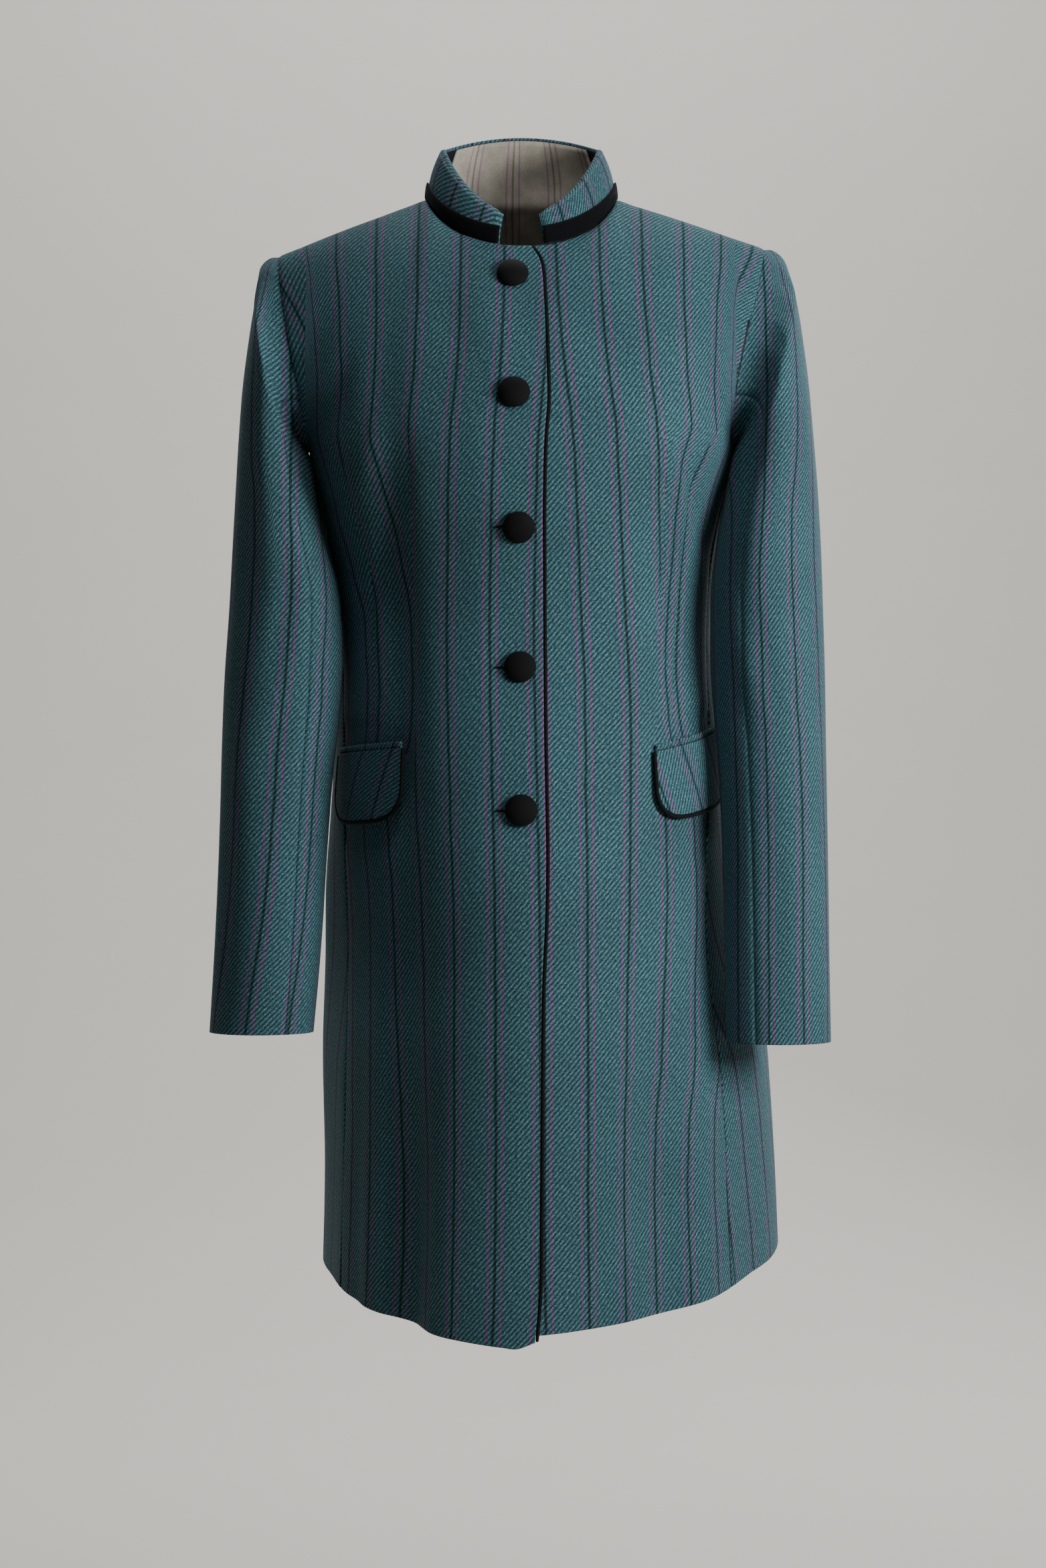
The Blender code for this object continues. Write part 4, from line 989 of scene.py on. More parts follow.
def plain_cloth(name, colour, thread, bump_depth, rough, sheen, sheen_rough, stripes=False):
    """Finely woven or piled cloth: velvet, piping, button cover, facing or lining."""
    material, tree, made = new_material(name)
    if not made:
        return material
    sizes, colours = bpy.context.scene.jacket_sizes, bpy.context.scene.jacket_colours
    math_node = "ShaderNodeMath"
    cloth = add_node(tree, "ShaderNodeUVMap", {"uv_map": "cloth"})
    place = add_node(tree, "ShaderNodeVectorMath", {"operation": "SCALE"}, {0: cloth, "Scale": 1.0 / MM})
    # The threads are drawn two to three times as coarse as real ones, so that they show
    waves = []
    for axis in (0, 1):
        along = add_node(tree, "ShaderNodeSeparateXYZ", {}, {0: place}, axis)
        turns = add_node(tree, math_node, {"operation": "MULTIPLY"}, {0: along, 1: 2.0 * math.pi / thread})
        waves.append(add_node(tree, math_node, {"operation": "SINE"}, {0: turns}))
    weave = add_node(tree, math_node, {"operation": "MULTIPLY"}, {0: waves[0], 1: waves[1]})
    pile = add_node(tree, "ShaderNodeTexNoise", {}, {"Vector": place, "Scale": 0.8, "Detail": 3.0,
                                                   "Roughness": 0.7})
    slow = add_node(tree, "ShaderNodeTexNoise", {}, {"Vector": place, "Scale": 0.06, "Detail": 2.0})
    tone = add_node(tree, math_node, {"operation": "MULTIPLY_ADD"}, {0: weave, 1: 0.22, 2: pile})
    tone = add_node(tree, math_node, {"operation": "ADD"}, {0: tone, 1: slow})
    tone = add_node(tree, "ShaderNodeMapRange", {}, {"Value": tone, "From Min": 0.5, "From Max": 1.5,
                                                   "To Min": 0.55, "To Max": 1.45})
    shade = add_node(tree, "ShaderNodeVectorMath", {"operation": "SCALE"}, {0: tuple(colour), "Scale": tone})
    if stripes:
        x = add_node(tree, "ShaderNodeSeparateXYZ", {}, {0: place}, 0)
        apart, off_pin = stripe_distances(tree, x, sizes)
        dark = add_node(tree, "ShaderNodeMapRange", {}, {"Value": apart, "From Min": 0.4, "From Max": 1.2,
                                                       "To Min": 0.5, "To Max": 0.0})
        pin = add_node(tree, "ShaderNodeMapRange", {}, {"Value": off_pin, "From Min": 0.4, "From Max": 1.1,
                                                      "To Min": 0.5, "To Max": 0.0})
        shade = add_node(tree, "ShaderNodeMix", {"data_type": "RGBA"},
                         {0: dark, 6: shade, 7: opaque(linear("#3A2A2A"))}, 2)
        shade = add_node(tree, "ShaderNodeMix", {"data_type": "RGBA"},
                         {0: pin, 6: shade, 7: opaque(colours.pin_stripe)}, 2)
    height = add_node(tree, math_node, {"operation": "MULTIPLY_ADD"}, {0: weave, 1: 0.5, 2: pile})
    bump = add_node(tree, "ShaderNodeBump", {}, {"Strength": 0.6, "Distance": bump_depth * MM,
                                                "Height": height})
    shader = tree.nodes["Principled BSDF"]
    tree.links.new(shade, shader.inputs["Base Color"])
    tree.links.new(bump, shader.inputs["Normal"])
    shader.inputs["Roughness"].default_value = rough
    shader.inputs["Specular IOR Level"].default_value = 0.25
    shader.inputs["Sheen Weight"].default_value = sheen
    shader.inputs["Sheen Roughness"].default_value = sheen_rough
    shader.inputs["Sheen Tint"].default_value = opaque(linear("#8C939C"))
    return material


def cotton_velvet():
    # Short dense pile: black face-on, with a grey bloom where it turns away
    colours = bpy.context.scene.jacket_colours
    return plain_cloth("cotton_velvet", colours.velvet, 1.1, 0.3, 1.0, 0.16, 0.3)


def cotton_piping():
    # Cotton cut on the bias over a cord: dull black with fine crossing threads
    colours = bpy.context.scene.jacket_colours
    return plain_cloth("cotton_piping", colours.piping, 0.9, 0.2, 0.8, 0.06, 0.5)


def woven_button_cover():
    # Close plain weave drawn tight over a metal dome: dull black with a faint grain
    colours = bpy.context.scene.jacket_colours
    return plain_cloth("woven_button_cover", colours.button, 1.3, 0.25, 0.8, 0.06, 0.5)


def facing_cloth():
    # Pale grey-green cotton, printed with the same stripes as the coat
    colours = bpy.context.scene.jacket_colours
    return plain_cloth("cotton_facing", colours.facing, 1.1, 0.15, 0.85, 0.1, 0.5, stripes=True)


def satin_lining():
    # Acetate satin lining: dark and smoother than the wool
    colours = bpy.context.scene.jacket_colours
    return plain_cloth("satin_lining", colours.lining, 1.2, 0.08, 0.45, 0.1, 0.4)


# Pieces

def front_panel(side):
    """Fine grid of one front on the left of the body, and the pattern's places on it."""
    cut = front_cut(side)
    rows = fine_rows(cut, PANEL_ROWS)
    first = line_places(rows, DART_LINES[side][0], 4.0, 12.4)
    second = line_places(rows, DART_LINES[side][1], 5.5, 14.2)
    second = np.maximum(second, first + 1.2)
    edges = np.stack([np.zeros(len(rows)), first, second, np.full(len(rows), rows.shape[1] - 1.0)], axis=1)
    places = spans(edges, FRONT_SPANS)
    grid = across_rows(rows, places)
    run = cloth_runs(grid, False)
    height = grid[..., 2]
    run = run + pairs(GRAIN_LEAN[side], height)
    run += pairs(FLUTE_TAKE[side], height) * np.maximum(0.0, run - FLUTE_TAKE_FROM)
    before, after = run.copy(), run.copy()
    columns = [1 + FRONT_SPANS[0], 1 + FRONT_SPANS[0] + FRONT_SPANS[1]]
    for column, intake in zip(columns, DART_INTAKES[side]):
        taken = pairs(intake, height)
        after[:, column:] += taken[:, column:]
        before[:, column + 1:] += taken[:, column + 1:]
    return grid, before, after, columns


def moved_front(side, grid, columns, depth):
    """The same grid with its creases, its seam troughs and the bed under the pocket flap."""
    out = outward(grid, False)
    across, height = grid[..., 0], grid[..., 2]
    amount = crease_amount(side, "front", across, height, depth) + unevenness(side * across, height)
    calm = 1.0 - eased((LAP_FLAT + 6.0 - across) / 20.0)
    amount = amount * calm
    for column, top in zip(columns, DART_TOPS[side]):
        near = np.linalg.norm(grid - grid[:, column:column + 1], axis=-1)
        shown = eased((top - height) / 25.0) * eased((height - DART_FOOT) / 6.0)
        amount += trough(near, 0.8) * shown
    side_gap = np.linalg.norm(grid - grid[:, -1:], axis=-1)
    amount += trough(side_gap)
    top_gap = np.linalg.norm(grid - grid[:1], axis=-1)
    amount += trough(top_gap) * eased((across - NECK_HALF_WIDTH + 6.0) / 10.0)
    amount -= 1.4 * pocket_bed(side, across, height)
    amount += side_fill(side, mirrored(grid, side))
    return grid + out * amount[..., None]


def pocket_bed(side, across, height):
    """1 under the pocket flap and its welt, 0 away from them."""
    start, top, rise = FLAP_PLACES[side]
    front = body_points(side * start, top)[0] * side
    middle = top - FLAP_DEPTH / 2
    inside = eased((across - front + 12.0) / 12.0)
    return inside * eased((FLAP_DEPTH / 2 + 24.0 + abs(rise) - np.abs(height - middle)) / 14.0)


def back_panel():
    """Fine grid of the whole back, and the pattern's places on it."""
    halves = {}
    for side in (-1, 1):
        rows = fine_rows(back_cut(side), PANEL_ROWS)
        line = line_places(rows, BACK_DART_LINE, 2.5, 14.2)
        edges = np.stack([np.zeros(len(rows)), line, np.full(len(rows), rows.shape[1] - 1.0)], axis=1)
        grid = across_rows(rows, spans(edges, BACK_SPANS[2:]))
        run = cloth_runs(grid, True) + pairs(BACK_CENTRE_INTAKE, grid[..., 2])
        halves[side] = (grid, run)
    column = 1 + BACK_SPANS[2]
    before, after = {}, {}
    for side, (grid, run) in halves.items():
        taken = pairs(BACK_DART_INTAKE, grid[..., 2])
        inner, outer = run.copy(), run.copy()
        outer[:, column:] += taken[:, column:]
        inner[:, column + 1:] += taken[:, column + 1:]
        before[side], after[side] = inner, outer
    grid = np.concatenate([mirrored(halves[-1][0], -1)[:, ::-1], halves[1][0][:, 1:]], axis=1)
    centre = halves[-1][0].shape[1] - 1
    # Seen from behind, the right half runs to the right with rising distance from the centre
    place_before = np.concatenate([-after[-1][:, ::-1], before[1][:, 1:]], axis=1)
    place_after = np.concatenate([-before[-1][:, ::-1], after[1][:, 1:]], axis=1)
    place_after[:, centre] = after[1][:, 0]
    return grid, place_before, place_after, centre, column


def moved_back(grid, centre, column, depth):
    """The back with its creases and seam troughs."""
    out = outward(grid, True)
    across, height = grid[..., 0], grid[..., 2]
    amount = unevenness(across + 40.0, height + 90.0)
    for side in (-1, 1):
        own = eased((side * across + 4.0) / 8.0)
        amount += side_fill(side, grid) * own
        amount += crease_amount(side, "back", side * across, height, depth) * own
        near = np.linalg.norm(grid - grid[:, centre + side * column:centre + side * column + 1], axis=-1)
        amount += trough(near, 0.9) * eased((BACK_DART_TOP - height) / 14.0)
        edge = 0 if side < 0 else grid.shape[1] - 1
        amount += trough(np.linalg.norm(grid - grid[:, edge:edge + 1], axis=-1))
    amount += trough(np.abs(across), 1.0)
    top_gap = np.linalg.norm(grid - grid[:1], axis=-1)
    amount += trough(top_gap) * eased((np.abs(across) - NECK_HALF_WIDTH + 6.0) / 10.0)
    return grid + out * amount[..., None]


def sleeve_grid(side, depth):
    """Fine rings of a whole sleeve on the left of the body, with its pattern's places."""
    rings, angles = sleeve_cut(side, front_cut(side), back_cut(side))
    count = rings.shape[1]
    places = np.array(SLEEVE_STEPS + (SLEEVE_LENGTH,))
    wanted = np.concatenate([[0.0, EDGE_MARGIN, 2.0, 3.5], np.arange(5.5, 40.0, 2.5),
                             np.arange(41.0, SLEEVE_LENGTH - 2.0, 5.5),
                             [SLEEVE_LENGTH - EDGE_MARGIN, SLEEVE_LENGTH]])
    rings = free_curve(places, rings, wanted)
    pad = 3
    around = np.concatenate([rings[:, -pad:], rings, rings[:, :pad]], axis=1)
    steps = np.arange(count * SLEEVE_FINENESS) / SLEEVE_FINENESS
    rings = free_curve(np.arange(-pad, count + pad), around.swapaxes(0, 1), steps).swapaxes(0, 1)
    wide = np.concatenate([angles[-pad:] - 360.0, angles, angles[:pad] + 360.0])
    turn = free_curve(np.arange(-pad, count + pad), wide, steps)
    closed = np.concatenate([rings, rings[:, :1]], axis=1)
    down = np.gradient(closed, axis=0)
    across = np.roll(rings, -1, axis=1) - np.roll(rings, 1, axis=1)
    out = unit(np.cross(across, down[:, :-1]))
    height = rings[..., 2]
    amount = np.zeros_like(height)
    for crease_side, angle, level, length, width, lean, deep in SLEEVE_CREASES:
        if crease_side == side:
            off = (turn[None] - angle - lean * (height - level) / 100.0 + 180.0) % 360.0 - 180.0
            amount += deep * depth * np.exp(-(off / width) ** 2 - ((height - level) / length) ** 2)
    amount *= eased((wanted[:, None] - 8.0) / 50.0) * eased((SLEEVE_LENGTH - wanted[:, None]) / 60.0 + 0.35)
    angle, width, level, length, deep = UNDERARM_FULLNESS
    amount += (deep * np.exp(-((turn[None] - angle) / width) ** 2 - ((height - level) / length) ** 2)
               * eased(wanted[:, None] / 5.0))
    cap = np.cos(np.radians(turn))[None] > -0.35
    ease = np.sin(np.radians(turn) * PUCKER_COUNT)[None] * np.exp(-(wanted[:, None] / PUCKER_REACH) ** 2)
    amount += PUCKER_DEPTH * ease * cap * eased(wanted[:, None] / 6.0)
    amount += trough(wanted[:, None], 1.2, 3.0)
    for seam in (FOREARM_SEAM, HINDARM_SEAM):
        near = np.linalg.norm(rings - rings[:, seam * SLEEVE_FINENESS:seam * SLEEVE_FINENESS + 1], axis=-1)
        amount += trough(near)
    rings = rings + out * amount[..., None]
    return rings, turn, height - CUFF_HEIGHT[side]


def zero_at(zero, levels, points):
    """Angle of the upright line at each point's height."""
    return np.interp(points[..., 2], levels, zero)


def sleeve_runs(side, points, turn):
    """Length round the tube at each point, from an upright line on its front."""
    outer, inner, front, back = (table(SLEEVE_ROWS[side], SLEEVE_COLUMNS, name, points[..., 2])
                                 for name in SLEEVE_COLUMNS[1:])
    cosine = (points[..., 0] - (outer + inner) / 2) / ((outer - inner) / 2)
    sine = (points[..., 1] - (front + back) / 2) / ((front - back) / 2)
    own = turn[None] + (np.degrees(np.arctan2(sine, cosine)) - turn[None] + 180.0) % 360.0 - 180.0
    fine = np.linspace(-180.0, 360.0, 541)
    levels = np.linspace(CUFF_HEIGHT[side] - 10.0, -40.0, 60)
    around = np.stack([runs(tube_points(side, fine, np.full_like(fine, level))) for level in levels])
    outer, inner = (table(SLEEVE_ROWS[side], SLEEVE_COLUMNS, name, levels) for name in ("outer", "inner"))
    line = table(SLEEVE_ROWS[side], SLEEVE_COLUMNS, "outer", UNDERARM_HEIGHT)
    line = (line + table(SLEEVE_ROWS[side], SLEEVE_COLUMNS, "inner", UNDERARM_HEIGHT)) / 2
    share = np.where(levels > UNDERARM_HEIGHT, (line - (outer + inner) / 2) / ((outer - inner) / 2), 0.0)
    zero = np.degrees(np.arccos(np.clip(share, -1.0, 1.0)))
    around -= np.array([np.interp(angle, fine, row) for angle, row in zip(zero, around)])[:, None]
    level = np.clip((points[..., 2] - levels[0]) / (levels[1] - levels[0]), 0, len(levels) - 1.001)
    place = np.clip(own - fine[0], 0.0, len(fine) - 1.001)
    low, left = level.astype(int), place.astype(int)
    up, right = level - low, place - left
    run = ((around[low, left] * (1 - right) + around[low, left + 1] * right) * (1 - up)
           + (around[low + 1, left] * (1 - right) + around[low + 1, left + 1] * right) * up)
    # Beside the armhole the stripes hang straight, as on the front of the body
    beyond = (line - points[..., 0]) * (own > zero_at(zero, levels, points))
    back_place = int(round(270.0 - fine[0]))
    half = np.take_along_axis(around[low], np.full(low.shape + (1,), back_place), axis=-1)[..., 0]
    straight = np.where(own > 180.0, half - beyond, beyond)
    settled = eased((points[..., 2] + 320.0) / 110.0) * (beyond > 0.0)
    run = run + (straight - run) * settled
    return run * SLEEVE_TAKE[side] - pairs(SLEEVE_LEAN[side], points[..., 2])


def collar_turns(count):
    return np.linspace(COLLAR_END_ANGLE, 360.0 - COLLAR_END_ANGLE, count)


def collar_top(turn):
    sine, cosine = np.sin(np.radians(turn)), np.cos(np.radians(turn))
    ahead = np.maximum(cosine, 0.0)
    behind = np.maximum(-cosine, 0.0)
    along = np.where(cosine > 0.0, -COLLAR_TOP_FRONT * cosine, -COLLAR_TOP_BACK * cosine)
    height = COLLAR_SIDE_HEIGHT - COLLAR_FRONT_FALL * ahead ** 1.6 + COLLAR_BACK_LIFT * behind ** 1.5
    return np.stack([COLLAR_TOP_WIDTH * sine, along + COLLAR_LEAN * sine * sine, height], axis=-1)


def collar_points(turn, share, out=0.0):
    """Outer surface of the collar from the neck seam to the top edge."""
    turn, share, out = np.broadcast_arrays(turn, np.asarray(share, float), np.asarray(out, float))
    base = neck_points(turn)
    base[..., 2] += COLLAR_BASE_GAP
    away = unit(base * np.array((1.0, 1.0, 0.0)))
    puff = COLLAR_PUFF * np.sin(math.pi * np.clip(share, 0.0, 1.0))
    return base + (collar_top(turn) - base) * share[..., None] + away * (puff + out)[..., None]


def search_tree(grid):
    """Tree for casting rays at a grid's facets."""
    rows, columns = grid.shape[:2]
    index = np.arange(rows * columns).reshape(rows, columns)
    faces = np.stack([index[:-1, :-1], index[:-1, 1:], index[1:, 1:], index[1:, :-1]], axis=-1)
    return BVHTree.FromPolygons(grid.reshape(-1, 3).tolist(), faces.reshape(-1, 4).tolist())


def rest_grid(cut):
    """Coarse grid of a front or of half of the back."""
    rows = fine_rows(cut, REST_ROWS)
    places = np.linspace(0, cut.shape[1] - 1, REST_COLUMNS)
    return across_rows(rows, np.tile(places, (len(rows), 1)))


def cord_object(name, points, radius, material):
    """Round piping through the points, with its pattern's places along and round it."""
    sides = 10
    along = unit(np.gradient(points, axis=0))
    up = unit(np.cross(along, np.array((0.31, 0.62, 0.72))))
    beside = np.cross(along, up)
    turn = np.linspace(0.0, 2.0 * math.pi, sides + 1)
    length = runs(points)
    # The ends are drawn in to a rounded tip
    taper = np.minimum(np.minimum(length, length[-1] - length) / radius + 0.25, 1.0) ** 0.5
    ring = (up[:, None] * np.cos(turn)[None, :, None] + beside[:, None] * np.sin(turn)[None, :, None])
    grid = points[:, None] + ring * (radius * taper)[:, None, None]
    upright = np.broadcast_to(length[:, None], grid.shape[:2])
    round_run = np.broadcast_to(turn * radius, grid.shape[:2])
    piece = panel_object(name, grid, round_run, round_run, upright, -1, material)
    closing = bmesh.new()
    closing.from_mesh(piece.data)
    bmesh.ops.remove_doubles(closing, verts=closing.verts, dist=1e-6)
    edges = [edge for edge in closing.edges if edge.is_boundary]
    bmesh.ops.holes_fill(closing, edges=edges, sides=sides)
    bmesh.ops.recalc_face_normals(closing, faces=closing.faces)
    closing.to_mesh(piece.data)
    closing.free()
    return piece


def flap_angles(side, share):
    """Angle reached at shares of the flap's width, measured along the body from its front end."""
    start, top, rise = FLAP_PLACES[side]
    found = []
    for one in np.atleast_1d(share):
        fine = start + np.linspace(0.0, 80.0, 161)
        line = mirrored(body_points(side * fine, top + rise * one), side)
        found.append(np.interp(FLAP_WIDTH * one, runs(line), fine))
    return np.array(found)


def flap_drop(share):
    """Depth of the flap's rounded outline at a share of its width."""
    return FLAP_DEPTH * (FLAP_CORNER + (1.0 - FLAP_CORNER) * np.sqrt(1.0 - np.abs(2.0 * share - 1.0) ** 4))


def flap_grid(side, share, drops, out):
    """Points over the flap, each row of drops being a share of the outline's depth in mm."""
    start, top, rise = FLAP_PLACES[side]
    angle = flap_angles(side, share)[None]
    height = top + rise * share[None] - drops
    here = body_points(side * angle, height)
    across = body_points(side * (angle + 1.0), height) - body_points(side * (angle - 1.0), height)
    down = body_points(side * angle, height - 4.0) - body_points(side * angle, height + 4.0)
    normal = unit(np.cross(down, across)) * side
    return here + normal * np.broadcast_to(out, height.shape)[..., None], normal


class JACKET_OT_fronts(bpy.types.Operator):
    """Make both fronts of striped wool, with their darts, seams and creases"""
    bl_idname = "jacket.fronts"
    bl_label = "Fronts"

    def execute(self, context):
        sizes = context.scene.jacket_sizes
        for side, name in ((1, "front_left"), (-1, "front_right")):
            grid, before, after, columns = front_panel(side)
            upright = -upright_runs(grid, columns[0])
            grid = mirrored(moved_front(side, grid, columns, sizes.crease_depth), side)
            phase = STRIPE_PHASE[name]
            piece = panel_object(name + "_cloth", grid, side * (before - phase), side * (after - phase),
                                 upright, side, wool_twill(), satin_lining(), sizes.body_wall)
            mount(piece, name)
            declare(grid)
        return {"FINISHED"}


class JACKET_OT_back(bpy.types.Operator):
    """Make the back with its centre seam, side panels and skirt flutes"""
    bl_idname = "jacket.back"
    bl_label = "Back"

    def execute(self, context):
        sizes = context.scene.jacket_sizes
        grid, before, after, centre, column = back_panel()
        upright = -upright_runs(grid, centre)
        grid = moved_back(grid, centre, column, sizes.crease_depth)
        phase = STRIPE_PHASE["back"]
        before_offset = np.where(np.arange(grid.shape[1]) <= centre, phase, -phase)[None]
        after_offset = np.where(np.arange(grid.shape[1]) < centre, phase, -phase)[None]
        piece = panel_object("back_cloth", grid, -(before + before_offset), -(after + after_offset),
                             upright, -1, wool_twill(), satin_lining(), sizes.body_wall)
        mount(piece, "back")
        declare(grid)
        return {"FINISHED"}


class JACKET_OT_sleeves(bpy.types.Operator):
    """Make the top and under sleeves with their eased heads and elbow creases"""
    bl_idname = "jacket.sleeves"
    bl_label = "Sleeves"

    def execute(self, context):
        sizes = context.scene.jacket_sizes
        for side, name in ((-1, "right"), (1, "left")):
            rings, turn, upright = sleeve_grid(side, sizes.crease_depth)
            count = rings.shape[1]
            pieces = (("sleeve_top_", HINDARM_SEAM, FOREARM_SEAM + count // SLEEVE_FINENESS),
                      ("sleeve_under_", FOREARM_SEAM, HINDARM_SEAM))
            for prefix, first, last in pieces:
                columns = np.arange(first * SLEEVE_FINENESS, last * SLEEVE_FINENESS + 1)
                wrap = columns % count
                grid = mirrored(rings[:, wrap], side)
                own = turn[wrap] + 360.0 * (columns // count - (first > FOREARM_SEAM))
                place = -side * (sleeve_runs(side, rings[:, wrap], own) - SLEEVE_STRIPE[side])
                piece = panel_object(prefix + name + "_cloth", grid, place, place, upright[:, wrap],
                                     -side, wool_twill(), satin_lining(), sizes.sleeve_wall)
                mount(piece, prefix + name)
                declare(grid)
        return {"FINISHED"}


class JACKET_OT_collar(bpy.types.Operator):
    """Make the stand collar, its velvet band and the pale facing inside"""
    bl_idname = "jacket.collar"
    bl_label = "Collar"

    def execute(self, context):
        sizes = context.scene.jacket_sizes
        self.make_stand()
        self.make_band()
        self.make_facing(sizes.facing_wall)
        return {"FINISHED"}

    def make_stand(self):
        """Outer cloth, rolled over the top edge and down the inside, closed at its ends."""
        turns = collar_turns(COLLAR_ACROSS)
        outside, over, inside = COLLAR_STEPS
        rise = np.concatenate([np.linspace(0.0, COLLAR_ROLL_START, outside),
                               np.full(over, COLLAR_ROLL_START),
                               np.linspace(COLLAR_ROLL_START, 0.02, inside)])
        roll = np.concatenate([np.zeros(outside), np.linspace(0.0, math.pi, over),
                               np.full(inside, math.pi)])
        tall = np.linalg.norm(collar_top(turns) - neck_points(turns), axis=-1)
        end_run = np.minimum(turns - turns[0], turns[-1] - turns) * 1.15
        plump = np.sqrt(np.clip(1.0 - (1.0 - np.minimum(end_run / 4.5, 1.0)) ** 2, 0.0, 1.0))
        half = (COLLAR_WALL + COLLAR_ROLL) / 2.0
        rows = []
        for share, turn in zip(rise, roll):
            out = half * (np.cos(turn) - 1.0)
            corner = 1.0 - 0.10 * np.exp(-(end_run / 5.0) ** 2) * eased((share - 0.5) / 0.5)
            lifted = share * corner + half * np.sin(turn) / tall
            middle = collar_points(turns, lifted, -half)
            here = collar_points(turns, lifted, out)
            rows.append(middle + (here - middle) * plump[:, None])
        grid = np.stack(rows)[::-1]
        widths = runs(collar_points(turns, 0.5))
        across = np.broadcast_to(widths - widths[-1] / 2.0 + 17.0, grid.shape[:2])
        upright = -upright_down(grid)
        piece = panel_object("collar_cloth", grid, across, across, upright, 1, wool_twill(),
                             satin_lining())
        # The side that touches the neck takes the dark satin below the roll: painted shade inside the collar
        painted_shade_rows = np.repeat(np.arange(len(grid) - 1) < inside - 1, grid.shape[1] - 1).astype(np.int32)
        piece.data.polygons.foreach_set("material_index", painted_shade_rows)
        mount(piece, "collar")
        declare(grid)

    def make_band(self):
        turns = collar_turns(COLLAR_ACROSS)
        tall = np.linalg.norm(collar_top(turns) - neck_points(turns), axis=-1)
        out = BAND_WALL + LAY_GAP
        parts = np.array((1.0, 0.94, 0.75, 0.5, 0.25, 0.06, 0.0))
        swell = np.array((-0.5, 0.0, 0.25, 0.3, 0.25, 0.0, -0.4))
        trees = [search_tree(mirrored(rest_grid(cut(side)), side))
                 for cut in (front_cut, back_cut) for side in (-1, 1)]
        lowest = []
        for turn in turns:
            rest = -1000.0
            for out_by in (out, LAY_GAP):
                x, y, _ = collar_points(np.array(turn), 0.0, out_by)
                for tree in trees:
                    hit = tree.ray_cast(Vector((x, y, 100.0)), Vector((0.0, 0.0, -1.0)))[0]
                    if hit:
                        rest = max(rest, hit.z)
            lowest.append(rest + BAND_REST_GAP)
        rows = []
        for part, more in zip(parts, swell):
            row = collar_points(turns, BAND_HEIGHT * part / tall, out + more)
            floor = np.array(lowest) + (BAND_HEIGHT * part)
            row[:, 2] = np.maximum(row[:, 2], np.where(part < 0.3, floor, -1000.0))
            rows.append(row)
        grid = np.stack(rows)
        widths = runs(grid[3])
        across = np.broadcast_to(widths, grid.shape[:2])
        piece = panel_object("band_velvet", grid, across, across, -upright_down(grid), 1,
                             cotton_velvet(), None, BAND_WALL * MM)
        mount(piece, "collar_band")
        declare(grid)

    def make_facing(self, wall):
        back = {side: fine_rows(back_cut(side), 150) for side in (-1, 1)}
        columns = np.linspace(0, FACING_REACH, 25)
        rows = []
        turn = 180.0 - columns * 90.0 / NECK_COLUMNS
        for share in np.linspace(0.93, 0.0, 14):
            clear = 0.3 + 1.1 * eased((0.35 - share) / 0.35)
            half = collar_points(turn, share, -(COLLAR_WALL + COLLAR_ROLL + LAY_GAP + clear) + 0.6)
            rows.append(np.concatenate([mirrored(half, -1)[::-1], half[1:]]))
        for index, clear in ((1, 1.2), (3, 0.9), (5, 0.6), (7, 0.4), (10, 0.3)):
            line = []
            for side in (-1, 1):
                grid = across_rows(back[side], np.tile(columns, (len(back[side]), 1)))
                out = outward(grid, True)
                inside = grid[index] - out[index] * (2.0 + LAY_GAP + clear)
                line.append(mirrored(inside, side))
            rows.append(np.concatenate([line[0][::-1], line[1][1:]]))
        grid = np.stack(rows)
        widths = runs(grid[7])
        across = np.broadcast_to(widths - widths[-1] / 2.0 + 7.0, grid.shape[:2])
        piece = panel_object("neck_facing_cloth", grid, across, across, -upright_down(grid), -1,
                             facing_cloth(), None, wall)
        mount(piece, "neck_facing")
        declare(grid)


def upright_down(points):
    """Length down each column from the top row."""
    steps = np.linalg.norm(np.diff(points, axis=0), axis=-1)
    return np.concatenate([np.zeros((1, points.shape[1])), np.cumsum(steps, axis=0)])


class JACKET_OT_front_piping(bpy.types.Operator):
    """Make the black piping along the free edge of the upper front"""
    bl_idname = "jacket.front_piping"
    bl_label = "Front piping"

    def execute(self, context):
        grid, _, _, columns = front_panel(-1)
        grid = moved_front(-1, grid, columns, context.scene.jacket_sizes.crease_depth)
        out = outward(grid, False)
        edge = unit(grid[:, 0] - grid[:, 2])
        line = grid[:, 0] + edge * (EDGE_PIPING_RADIUS + 0.2) - out[:, 0] * 0.8
        piece = cord_object("front_piping_cord", mirrored(line, -1), EDGE_PIPING_RADIUS, cotton_piping())
        mount(piece, "front_piping")
        return {"FINISHED"}


